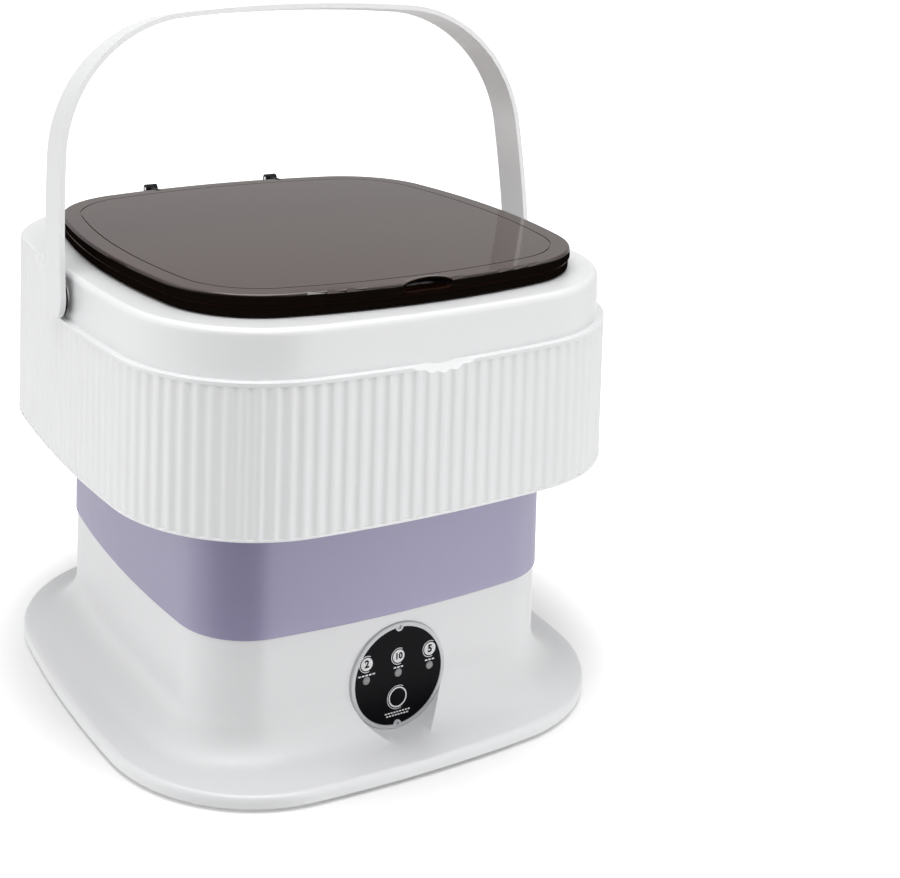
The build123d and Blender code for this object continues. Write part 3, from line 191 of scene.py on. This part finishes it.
def smoked(name):
    """Glossy smoked-brown clear plastic. Painted light makes faces turned up brown, as if light passed
    through them, and painted shade makes the sides nearly black, with no shine on them.
    """
    shader = Shader(name)
    upward = shader.nodes.new("ShaderNodeSeparateXYZ")
    shader.links.new(shader.nodes.new("ShaderNodeNewGeometry").outputs["True Normal"], upward.inputs[0])
    facing_up = upward.outputs["Z"]
    # Painted light and shade: brown where the face turns up, near black on the sides, and no shine on the
    # sides
    shader.link(shader.colours(facing_up, SMOKE_SIDE_SHADE, SMOKE_TOP_LIGHT, *SMOKE_SHADE_BLEND), "Base Color")
    shader.link(shader.spread(facing_up, *SMOKE_SHINE_BY_FACING), "Specular IOR Level")
    shader.link(shader.spread(shader.noise(SMOKE_GLOSS, 4.0), *SMOKE_ROUGHNESS), "Roughness")
    shader.bump(shader.noise(SMOKE_WAVES, 2.0), 0.04, SMOKE_WAVE_DEPTH)
    shader.set(IOR=1.5)
    return shader.material


def metal(name, colour, roughness, stretch):
    """Machined or plated metal with fine drawn lines."""
    shader = Shader(name)
    lines = shader.noise(METAL_LINES, 4.0, stretch)
    shader.link(shader.colours(lines, darker(colour, METAL_DRIFT), colour), "Base Color")
    shader.link(shader.spread(lines, roughness - 0.08, roughness + 0.1), "Roughness")
    shader.bump(lines, 0.2, METAL_LINE_DEPTH)
    shader.set(Metallic=1.0)
    return shader.material


def circuit(name):
    """Green solder resist with lighter copper tracks under it."""
    shader = Shader(name)
    tracks = shader.nodes.new("ShaderNodeTexVoronoi")
    tracks.feature = "DISTANCE_TO_EDGE"
    tracks.inputs["Scale"].default_value = TRACK_SCALE
    shader.links.new(shader.place, tracks.inputs["Vector"])
    from_track = tracks.outputs["Distance"]
    shader.link(shader.colours(from_track, TRACK_GREEN, RESIST_GREEN, *TRACK_EDGES), "Base Color")
    shader.link(shader.spread(shader.noise(200.0), 0.25, 0.4), "Roughness")
    shader.bump(from_track, 0.3, TRACK_HEIGHT)
    return shader.material


def lens(name):
    """Frosted grey window over an unlit lamp."""
    shader = Shader(name)
    shader.link(shader.colours(shader.noise(500.0), LENS_DARK, LENS_LIGHT), "Base Color")
    shader.link(shader.spread(shader.noise(700.0), 0.3, 0.45), "Roughness")
    shader.set(IOR=1.46, Subsurface_Weight=0.2, Subsurface_Scale=1 * MM)
    return shader.material


def ink(name, colour, shine):
    """Screen-printed ink, a little uneven."""
    shader = Shader(name)
    shader.link(shader.colours(shader.noise(900.0, 4.0), darker(colour, INK_DRIFT), colour), "Base Color")
    shader.link(shader.spread(shader.noise(1200.0), *INK_ROUGHNESS), "Roughness")
    shader.set(Specular_IOR_Level=shine)
    return shader.material


WHITE = (0.80, 0.805, 0.81)
INNER_WHITE = (0.72, 0.73, 0.74)
BASKET_WHITE = (0.76, 0.765, 0.77)
LAVENDER = (0.254, 0.233, 0.374)

MATERIALS = {
    "body_white": moulded("body_white_plastic", WHITE, 0.36),
    "inner_white": moulded("inner_white_plastic", INNER_WHITE, 0.5, drift=0.04),
    "basket_white": moulded("basket_white_plastic", BASKET_WHITE, 0.45, drift=0.03),
    "sleeve_lavender": soft_wall("lavender_soft_wall", LAVENDER),
    "black_rubber": moulded("black_rubber", (0.022, 0.022, 0.023), 0.75, grain=0.03 * MM, drift=0.2),
    "steel": metal("plated_steel", (0.62, 0.62, 0.64), 0.32, (1, 1, 0.05)),
    "motor_can": metal("motor_can_steel", (0.34, 0.35, 0.37), 0.4, (1, 1, 0.1)),
    "gear_nylon": moulded("gear_nylon", (0.70, 0.68, 0.60), 0.48, drift=0.05),
    "cast_aluminium": metal("turned_aluminium", (0.68, 0.69, 0.71), 0.38, (0.1, 0.1, 1)),
    "circuit_green": circuit("circuit_board"),
    "bezel_grey": moulded("bezel_grey_plastic", (0.56, 0.57, 0.59), 0.3),
    "label_black": moulded("panel_black", (0.004, 0.004, 0.005), 0.3, grain=0.004 * MM, drift=0.15,
                           shine=0.02),
    "lens_clear": lens("lamp_window"),
    "wire_black": moulded("wire_sheath", (0.02, 0.02, 0.021), 0.5, drift=0.2),
    "lid_smoke": smoked("smoked_lid"),
    "hinge_black": moulded("hinge_black_plastic", (0.008, 0.008, 0.009), 0.5, drift=0.15, shine=0.05),
}


# ---------------------------------------------------------------------------------------------
# CAD nodes: materials and smooth shading
# ---------------------------------------------------------------------------------------------
SHARP_DEGREES = 32.0
WELD_DISTANCE = 0.002 * MM


def smoothing_group():
    """Modifier that joins the CAD faces' edges and shades smooth across all but the sharp ones."""
    group = bpy.data.node_groups.new("smooth_by_angle", "GeometryNodeTree")
    group.interface.new_socket("Geometry", in_out="INPUT", socket_type="NodeSocketGeometry")
    group.interface.new_socket("Geometry", in_out="OUTPUT", socket_type="NodeSocketGeometry")
    nodes, links = group.nodes, group.links
    start = nodes.new("NodeGroupInput")
    drop = nodes.new("GeometryNodeRemoveAttribute")
    drop.inputs["Name"].default_value = "custom_normal"
    weld = nodes.new("GeometryNodeMergeByDistance")
    weld.inputs["Distance"].default_value = WELD_DISTANCE
    faces = nodes.new("GeometryNodeSetShadeSmooth")
    faces.domain = "FACE"
    angle = nodes.new("GeometryNodeInputMeshEdgeAngle")
    sharp = nodes.new("FunctionNodeCompare")
    sharp.operation = "GREATER_THAN"
    sharp.inputs[1].default_value = math.radians(SHARP_DEGREES)
    edges = nodes.new("GeometryNodeSetShadeSmooth")
    edges.domain = "EDGE"
    edges.inputs["Shade Smooth"].default_value = False
    end = nodes.new("NodeGroupOutput")
    links.new(start.outputs[0], drop.inputs["Geometry"])
    links.new(drop.outputs["Geometry"], weld.inputs["Geometry"])
    links.new(weld.outputs["Geometry"], faces.inputs["Geometry"])
    links.new(faces.outputs["Geometry"], edges.inputs["Geometry"])
    links.new(angle.outputs["Unsigned Angle"], sharp.inputs[0])
    links.new(sharp.outputs["Result"], edges.inputs["Selection"])
    links.new(edges.outputs["Geometry"], end.inputs[0])
    return group


SMOOTHING = smoothing_group()


def dress_cad_nodes():
    """Material, smooth shading and area-weighted normals, which keep flat faces flat beside rounded edges."""
    slots = {part["node"]: part["material_slot"] for part in frame["record"]["subparts"]}
    for name, node in frame["nodes"].items():
        node.data.materials.clear()
        node.data.materials.append(MATERIALS[slots[name]])
        node.modifiers.new("smooth_by_angle", "NODES").node_group = SMOOTHING
        node.modifiers.new("weighted_normals", "WEIGHTED_NORMAL").keep_sharp = True


# ---------------------------------------------------------------------------------------------
# Mesh helpers
# ---------------------------------------------------------------------------------------------
def add_piece(name, mesh, body, slot, material=None, smooth=True):
    piece = bpy.data.objects.new(name, mesh)
    bpy.context.scene.collection.objects.link(piece)
    mesh.materials.clear()
    mesh.materials.append(material or MATERIALS[slot])
    for face in mesh.polygons:
        face.use_smooth = smooth
    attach(piece, body)
    return piece


def rounded_outline(half_x, half_y, bulge, corner, steps):
    """Points and outward normals round a square with shallow curved sides and round corners.

    Each side is an arc whose radius is its half width over the bulge. The corner arc touches both sides.
    """
    side_radius, end_radius = half_y / bulge, half_x / bulge
    side_x, end_y = half_x - side_radius, half_y - end_radius
    inner_side, inner_end = side_radius - corner, end_radius - corner
    gap = math.hypot(side_x, end_y)
    along = (inner_side ** 2 - inner_end ** 2 + gap ** 2) / (2 * gap)
    across = math.sqrt(inner_side ** 2 - along ** 2)
    cx = side_x - along * side_x / gap - across * end_y / gap
    cy = along * end_y / gap - across * side_x / gap
    low = math.atan2(cy, cx - side_x)
    high = math.atan2(cy - end_y, cx)
    arcs = [((side_x, 0), side_radius, 0, low), ((cx, cy), corner, low, high),
            ((0, end_y), end_radius, high, math.pi / 2)]
    quarter = []
    for (x, y), radius, start, end in arcs:
        for step in range(steps):
            angle = start + (end - start) * step / steps
            quarter.append((x + radius * math.cos(angle), y + radius * math.sin(angle),
                            math.cos(angle), math.sin(angle)))
    middle_top = (0, half_y, 0, 1)
    mirrored = [(-x, y, -nx, ny) for x, y, nx, ny in reversed(quarter[1:])]
    upper = quarter + [middle_top] + mirrored
    lower = [(-x, -y, -nx, -ny) for x, y, nx, ny in upper]
    return upper + lower


def swept_ring(outline, profile):
    """Closed ring: each profile point is (offset along the outline's normal, height)."""
    mesh = bmesh.new()
    loops = []
    for x, y, nx, ny in outline:
        loops.append([mesh.verts.new((x + nx * out, y + ny * out, height)) for out, height in profile])
    count, length = len(loops), len(profile)
    for i in range(count):
        here, there = loops[i], loops[(i + 1) % count]
        for j in range(length):
            k = (j + 1) % length
            mesh.faces.new((here[j], there[j], there[k], here[k]))
    bmesh.ops.recalc_face_normals(mesh, faces=mesh.faces)
    data = bpy.data.meshes.new("ring")
    mesh.to_mesh(data)
    mesh.free()
    return data


# ---------------------------------------------------------------------------------------------
# Soft tub wall
# ---------------------------------------------------------------------------------------------
SLEEVE_BULGE = 0.172
SLEEVE_CORNER = 43.3 * MM
SLEEVE_INSET = 0.15 * MM                  # keeps it clear of the clamp band
SLEEVE_WALL = 2.4 * MM
SLEEVE_ARC_STEPS = 14
SLEEVE_ROWS = 24
SLEEVE_FOLDS = 6
FOLD_GROOVE = 0.5 * MM
FOLD_HALF_HEIGHT = 2 * MM
LIP_RADIUS = 0.9 * MM
LIP_STEPS = 4


def sleeve_outside(low, high):
    """Outer face from bottom to top, between two rounded lips."""
    turns = [math.radians(90 * step / LIP_STEPS) for step in range(LIP_STEPS + 1)]
    bottom = [(-LIP_RADIUS * (1 - math.sin(a)), low + LIP_RADIUS * (1 - math.cos(a))) for a in turns]
    straight = [(0, low + (high - low) * row / SLEEVE_ROWS) for row in range(1, SLEEVE_ROWS)]
    top = [(-LIP_RADIUS * (1 - math.cos(a)), high - LIP_RADIUS * (1 - math.sin(a))) for a in turns]
    return bottom + straight + top


def sleeve_inside(low, high):
    """Inner face from top to bottom, with a shallow groove at each fold."""
    face = [(-SLEEVE_WALL, high)]
    pitch = (high - low) / (SLEEVE_FOLDS + 1)
    for fold in range(SLEEVE_FOLDS, 0, -1):
        middle = low + pitch * fold
        face.append((-SLEEVE_WALL, middle + FOLD_HALF_HEIGHT))
        face.append((-SLEEVE_WALL + FOLD_GROOVE, middle))
        face.append((-SLEEVE_WALL, middle - FOLD_HALF_HEIGHT))
    face.append((-SLEEVE_WALL, low))
    return face


def sleeve():
    """The soft wall: a ring with rounded lips and shallow fold grooves on its inner face, in place of the CAD
    part.
    """
    low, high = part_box("tub_sleeve")
    half_x, half_y = high.x - SLEEVE_INSET, high.y - SLEEVE_INSET
    outline = rounded_outline(half_x, half_y, SLEEVE_BULGE, SLEEVE_CORNER, SLEEVE_ARC_STEPS)
    profile = sleeve_outside(low.z, high.z) + sleeve_inside(low.z, high.z)
    piece = add_piece("sleeve_soft_wall", swept_ring(outline, profile), "base", "sleeve_lavender")
    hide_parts("tub_sleeve")
    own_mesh(piece)


# ---------------------------------------------------------------------------------------------
# Panel print: digits, badges, button ring and plain marks
# ---------------------------------------------------------------------------------------------
INK_THICKNESS = 0.05 * MM
WHITE_INK = (0.82, 0.82, 0.83)
BLACK_INK = (0.006, 0.006, 0.007)
DIGIT_BOLD = 0.2 * MM
ONE_DIGIT_SIZE = 6.0 * MM
TWO_DIGIT_SIZE = 5.0 * MM
BADGE_RADIUS = 3.8 * MM
# Number, place to the right and up, and how many dashes stand under it
BADGES = (("2", -20.9 * MM, 11.2 * MM, 5), ("10", 0.0, 11.3 * MM, 3), ("5", 20.9 * MM, 11.0 * MM, 3))
BADGE_ARC = (4.5 * MM, 4.9 * MM)
BADGE_DASH_DROP = 6.4 * MM
BADGE_DASH = (1.6 * MM, 0.85 * MM, 2.3 * MM)     # width, height and pitch
BUTTON_UP = -12.8 * MM
BUTTON_RING = (5.2 * MM, 6.0 * MM)
BUTTON_ARC = (6.7 * MM, 7.0 * MM)
BUTTON_DASHES = 3
BUTTON_DASH = (1.2 * MM, 0.6 * MM, 1.7 * MM)
NOTE_ROWS = ((8.6 * MM, 9), (10.3 * MM, 8))       # drop below the button and number of dashes
NOTE_DASH = (1.3 * MM, 0.75 * MM, 1.9 * MM)
ARC_START, ARC_END = 60, 290


class Print:
    """Flat marks on the front of the panel, collected into one thin mesh."""

    def __init__(self, centre, front):
        self.mesh = bmesh.new()
        self.centre = centre
        self.front = front

    def plate(self, points, hole=None):
        """Raised shape from an outline of (right, up) points, or a band between two equal outlines."""
        def ring(outline, y):
            return [self.mesh.verts.new((self.centre.x + u, y, self.centre.z + v)) for u, v in outline]

        near, far = self.front - INK_THICKNESS, self.front + INK_THICKNESS
        front, back = ring(points, near), ring(points, far)
        if hole is None:
            self.mesh.faces.new(front)
            self.mesh.faces.new(back)
            self.wall(front, back)
            return
        front_in, back_in = ring(hole, near), ring(hole, far)
        self.wall(front, front_in)
        self.wall(back, back_in)
        self.wall(front, back)
        self.wall(front_in, back_in)

    def dashes(self, u, v, count, dash):
        """Row of short marks centred on a point. They stand for lettering."""
        width, height, pitch = dash
        for k in range(count):
            self.plate(bar(u + (k - (count - 1) / 2) * pitch, v, width, height))

    def wall(self, first, second):
        count = len(first)
        for i in range(count):
            j = (i + 1) % count
            self.mesh.faces.new((first[i], first[j], second[j], second[i]))

    def finish(self, name, material):
        bmesh.ops.recalc_face_normals(self.mesh, faces=self.mesh.faces)
        data = bpy.data.meshes.new(name)
        self.mesh.to_mesh(data)
        self.mesh.free()
        add_piece(name, data, "base", "bezel_grey", material, smooth=False)


def circle(u, v, radius, count=48):
    angles = [2 * math.pi * k / count for k in range(count)]
    return [(u + radius * math.cos(a), v + radius * math.sin(a)) for a in angles]


def arc_band(u, v, inner, outer, start, end, count=24):
    """Outline of a curved bar between two radii and two angles in degrees."""
    angles = [math.radians(start + (end - start) * k / count) for k in range(count + 1)]
    out = [(u + outer * math.cos(a), v + outer * math.sin(a)) for a in angles]
    back = [(u + inner * math.cos(a), v + inner * math.sin(a)) for a in reversed(angles)]
    return out + back


def bar(u, v, width, height):
    return [(u - width / 2, v - height / 2), (u + width / 2, v - height / 2),
            (u + width / 2, v + height / 2), (u - width / 2, v + height / 2)]


def digits(text, u, v, centre, front):
    """A number as a thin raised mesh facing the front."""
    curve = bpy.data.curves.new("digits", "FONT")
    curve.body = text
    curve.size = ONE_DIGIT_SIZE if len(text) == 1 else TWO_DIGIT_SIZE
    curve.align_x = "CENTER"
    curve.align_y = "CENTER"
    curve.extrude = INK_THICKNESS
    curve.offset = DIGIT_BOLD
    holder = bpy.data.objects.new("digits", curve)
    bpy.context.scene.collection.objects.link(holder)
    bpy.context.view_layer.update()
    data = bpy.data.meshes.new_from_object(holder.evaluated_get(bpy.context.evaluated_depsgraph_get()))
    data.transform(Matrix.Translation((centre.x + u, front - 2 * INK_THICKNESS, centre.z + v))
                   @ Matrix.Rotation(math.radians(90), 4, "X"))
    bpy.data.objects.remove(holder)
    return data


def panel_print():
    """White marks on the black label, then a black number on each badge."""
    low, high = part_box("panel_label")
    centre = (low + high) / 2
    white = Print(centre, low.y)
    for text, u, v, dashes in BADGES:
        white.plate(circle(u, v, BADGE_RADIUS))
        white.plate(arc_band(u, v, *BADGE_ARC, ARC_START, ARC_END))
        white.dashes(u, v - BADGE_DASH_DROP, dashes, BADGE_DASH)
    inner, outer = BUTTON_RING
    white.plate(circle(0, BUTTON_UP, outer), circle(0, BUTTON_UP, inner))
    white.plate(arc_band(0, BUTTON_UP, *BUTTON_ARC, ARC_START, ARC_END))
    white.dashes(0, BUTTON_UP, BUTTON_DASHES, BUTTON_DASH)
    for drop, dashes in NOTE_ROWS:
        white.dashes(0, BUTTON_UP - drop, dashes, NOTE_DASH)
    white.finish("panel_white_print", ink("white_ink", WHITE_INK, 0.5))
    black_ink = ink("black_ink", BLACK_INK, 0.05)
    for text, u, v, _ in BADGES:
        mesh = digits(text, u, v, centre, low.y)
        add_piece(f"panel_digit_{text}", mesh, "base", "label_black", black_ink, smooth=False)


# ---------------------------------------------------------------------------------------------
# Stage: floor, light and camera
# ---------------------------------------------------------------------------------------------
CAMERA_PLACE = (-0.46136, -0.86050, 0.50469)
CAMERA_TURN = -28.652
CAMERA_TILT = 4.373
CAMERA_ROLL = 1.279
CAMERA_LENS = 63.33
CAMERA_SENSOR = 36.0
CAMERA_CLIP = (0.05, 50.0)
CAMERA_SHIFT = (0.14127, -0.51479)
SAME_PLACE = 0.1 * MM
LIGHT_AIM_Z = 0.2
FLOOR_REACH = 6.0
FLOOR_WHITE = (0.80, 0.80, 0.80)
FLOOR_DRIFT = 0.01
# Glow that lifts the floor to white for the camera: its value under the machine, and where it rises to 1.
# Near the machine the weaker glow leaves the real shadow plus a painted shade round the foot
FLOOR_LIFT = 0.12
LIFT_REACH = (0.14, 0.29)
# Light of the room on matt surfaces, and the dimmer part of it round one direction
ROOM_LIGHT = 0.44
DIM_AZIMUTH = 36.0
DIM_EDGES = (0.2, 0.85)
DIM_LIGHT = 0.12
# Name, azimuth from the front towards the left, distance, size, height and power
SOFTBOXES = (
    ("right_softbox", -46.0, 1.5, (2.2, 1.5), 0.75, 5.6),
    ("left_softbox", 90.0, 1.5, (1.5, 1.5), 0.5, 7.2),
    ("top_softbox", 30.0, 0.55, (1.4, 1.4), 1.85, 23.5),
)
# Brightness of the reflected room by direction, in degrees from the front towards the left
REFLECTED_ROOM = ((-180, 0.14), (-101, 0.14), (-80, 0.5), (-40, 0.9), (-14, 0.95), (2, 0.05), (60, 0.04),
                  (95, 0.45), (130, 0.5), (160, 0.14), (180, 0.14))
PANEL_GLOW = 4.2
OVERHEAD_EDGES = (0.45, 0.8)
OVERHEAD_GLOW = 2.5
ZENITH_EDGES = (0.88, 0.95)
ZENITH_GLOW = 9.0


def aim_camera():
    """Camera of the main view. It stands off centre with a shifted lens, to keep the uprights parallel."""
    data = bpy.data.cameras.new("main_camera")
    camera = bpy.data.objects.new("main_camera", data)
    bpy.context.scene.collection.objects.link(camera)
    turn, tilt, roll = (math.radians(a) for a in (CAMERA_TURN, CAMERA_TILT, CAMERA_ROLL))
    back = Vector((math.sin(turn) * math.cos(tilt), -math.cos(turn) * math.cos(tilt), math.sin(tilt)))
    level = Vector((math.cos(turn), math.sin(turn), 0))
    rise = back.cross(level)
    right = math.cos(roll) * level + math.sin(roll) * rise
    up = -math.sin(roll) * level + math.cos(roll) * rise
    camera.matrix_world = Matrix.Translation(CAMERA_PLACE) @ Matrix((right, up, back)).transposed().to_4x4()
    data.lens = CAMERA_LENS
    data.sensor_width = CAMERA_SENSOR
    data.clip_start, data.clip_end = CAMERA_CLIP
    for axis, amount in zip(("shift_x", "shift_y"), CAMERA_SHIFT):
        hold_shift(camera, axis, amount)
    bpy.context.scene.camera = camera


def hold_shift(camera, axis, amount):
    """Lens shift that belongs to this place only, so that a camera moved elsewhere looks straight ahead."""
    driver = camera.data.driver_add(axis).driver
    place = driver.variables.new()
    place.name = "x"
    place.type = "SINGLE_PROP"
    place.targets[0].id = camera
    place.targets[0].data_path = "location.x"
    driver.expression = f"{amount} if abs(x - {CAMERA_PLACE[0]}) < {SAME_PLACE} else 0.0"


def softbox(name, azimuth, distance, size, height, power):
    """Upright soft light facing the machine. Azimuth is in degrees from the front towards the left."""
    data = bpy.data.lights.new(name, "AREA")
    data.shape = "RECTANGLE"
    data.size, data.size_y = size
    data.energy = power
    turn = math.radians(azimuth)
    light = bpy.data.objects.new(name, data)
    light.location = (-distance * math.sin(turn), -distance * math.cos(turn), height)
    aim = Vector((0, 0, LIGHT_AIM_Z)) - light.location
    light.rotation_euler = aim.to_track_quat("-Z", "Y").to_euler()
    light.visible_glossy = False
    bpy.context.scene.collection.objects.link(light)


class LightNodes:
    """Short calls for the scalar nodes that describe the light around the machine."""

    def __init__(self, tree):
        self.nodes = tree.nodes
        self.links = tree.links

    def __call__(self, operation, *values):
        node = self.nodes.new("ShaderNodeMath")
        node.operation = operation
        for socket, value in zip(node.inputs, values):
            if isinstance(value, (int, float)):
                socket.default_value = value
            else:
                self.links.new(value, socket)
        return node.outputs[0]

    def ease(self, value, low, high, first, last):
        """Smooth step from first to last as value goes from low to high."""
        node = self.nodes.new("ShaderNodeMapRange")
        node.interpolation_type = "SMOOTHSTEP"
        node.inputs["From Min"].default_value = low
        node.inputs["From Max"].default_value = high
        for name, end in (("To Min", first), ("To Max", last)):
            if isinstance(end, (int, float)):
                node.inputs[name].default_value = end
            else:
                self.links.new(end, node.inputs[name])
        self.links.new(value, node.inputs["Value"])
        return node.outputs["Result"]

    def ray(self, kind):
        return self.nodes.new("ShaderNodeLightPath").outputs[f"Is {kind} Ray"]

    def reflections(self, direction):
        """What glossy surfaces see: bright panels right, left and overhead, and dark round the camera."""
        split = self.nodes.new("ShaderNodeSeparateXYZ")
        self.links.new(direction, split.inputs[0])
        x, y, z = split.outputs
        azimuth = self("ARCTAN2", self("MULTIPLY", x, -1.0), self("MULTIPLY", y, -1.0))
        ramp = self.nodes.new("ShaderNodeValToRGB")
        stops = ramp.color_ramp.elements
        while len(stops) < len(REFLECTED_ROOM):
            stops.new(0.5)
        for stop, (degrees, value) in zip(stops, REFLECTED_ROOM):
            stop.position = degrees / 360 + 0.5
            stop.color = (value, value, value, 1)
        self.links.new(self("ADD", self("DIVIDE", azimuth, 2 * math.pi), 0.5), ramp.inputs["Fac"])
        around = self("MULTIPLY", ramp.outputs["Color"], PANEL_GLOW)
        overhead = self.ease(z, *ZENITH_EDGES, OVERHEAD_GLOW, ZENITH_GLOW)
        return self.ease(z, *OVERHEAD_EDGES, around, overhead)


def floor_material():
    """White board, pure white to the camera away from the machine. Near the machine the glow is weaker, so
    the floor there shows its real shadow and a painted shade round the foot. Reflections show the room in it.
    """
    shader = Shader("floor_white")
    clouds = shader.noise(3.0, 2.0)
    shader.link(shader.colours(clouds, darker(FLOOR_WHITE, FLOOR_DRIFT), FLOOR_WHITE), "Base Color")
    light = LightNodes(shader.material.node_tree)
    flip = shader.nodes.new("ShaderNodeVectorMath")
    flip.operation = "SCALE"
    flip.inputs["Scale"].default_value = -1.0
    shader.links.new(shader.nodes.new("ShaderNodeNewGeometry").outputs["Incoming"], flip.inputs[0])
    mirrored = light("MULTIPLY", light.reflections(flip.outputs[0]), light.ray("Glossy"))
    away = shader.nodes.new("ShaderNodeVectorMath")
    away.operation = "LENGTH"
    shader.links.new(shader.place, away.inputs[0])
    # Painted shade: less glow close to the machine, so the floor is darker round its foot
    lift = light.ease(away.outputs["Value"], *LIFT_REACH, FLOOR_LIFT, 1.0)
    lifted = light("MULTIPLY", light.ray("Camera"), lift)
    shader.link(light("ADD", mirrored, lifted), "Emission Strength")
    shader.set(Emission_Color=(1, 1, 1, 1), Roughness=0.6, Specular_IOR_Level=0.0)
    return shader.material


def surroundings():
    """White to the camera, an even room to matt surfaces, and soft panels to glossy ones."""
    world = bpy.data.worlds.new("studio")
    world.use_nodes = True
    tree = world.node_tree
    background = tree.nodes["Background"]
    light = LightNodes(tree)
    direction = tree.nodes.new("ShaderNodeTexCoord").outputs["Generated"]
    mirrored = light("MULTIPLY", light.reflections(direction), light.ray("Glossy"))
    dot = tree.nodes.new("ShaderNodeVectorMath")
    dot.operation = "DOT_PRODUCT"
    dim = math.radians(DIM_AZIMUTH)
    dot.inputs[1].default_value = (-math.sin(dim), -math.cos(dim), 0)
    tree.links.new(direction, dot.inputs[0])
    even = light.ease(dot.outputs["Value"], *DIM_EDGES, ROOM_LIGHT, DIM_LIGHT)
    room = light("MULTIPLY", light("SUBTRACT", 1.0, light.ray("Glossy")), even)
    seen = light("MAXIMUM", light("ADD", mirrored, room), light.ray("Camera"))
    tree.links.new(seen, background.inputs["Strength"])
    background.inputs["Color"].default_value = (1, 1, 1, 1)
    bpy.context.scene.world = world


def studio():
    """Floor, surroundings and softboxes."""
    mesh = bpy.data.meshes.new("floor")
    corners = [(x * FLOOR_REACH, y * FLOOR_REACH, 0) for x, y in ((-1, -1), (1, -1), (1, 1), (-1, 1))]
    mesh.from_pydata(corners, [], [(0, 1, 2, 3)])
    floor = bpy.data.objects.new("floor", mesh)
    bpy.context.scene.collection.objects.link(floor)
    mesh.materials.append(floor_material())
    surroundings()
    for name, azimuth, distance, size, height, power in SOFTBOXES:
        softbox(name, azimuth, distance, size, height, power)
    bpy.context.scene.view_settings.view_transform = "Standard"


dress_cad_nodes()
sleeve()
panel_print()
studio()
aim_camera()
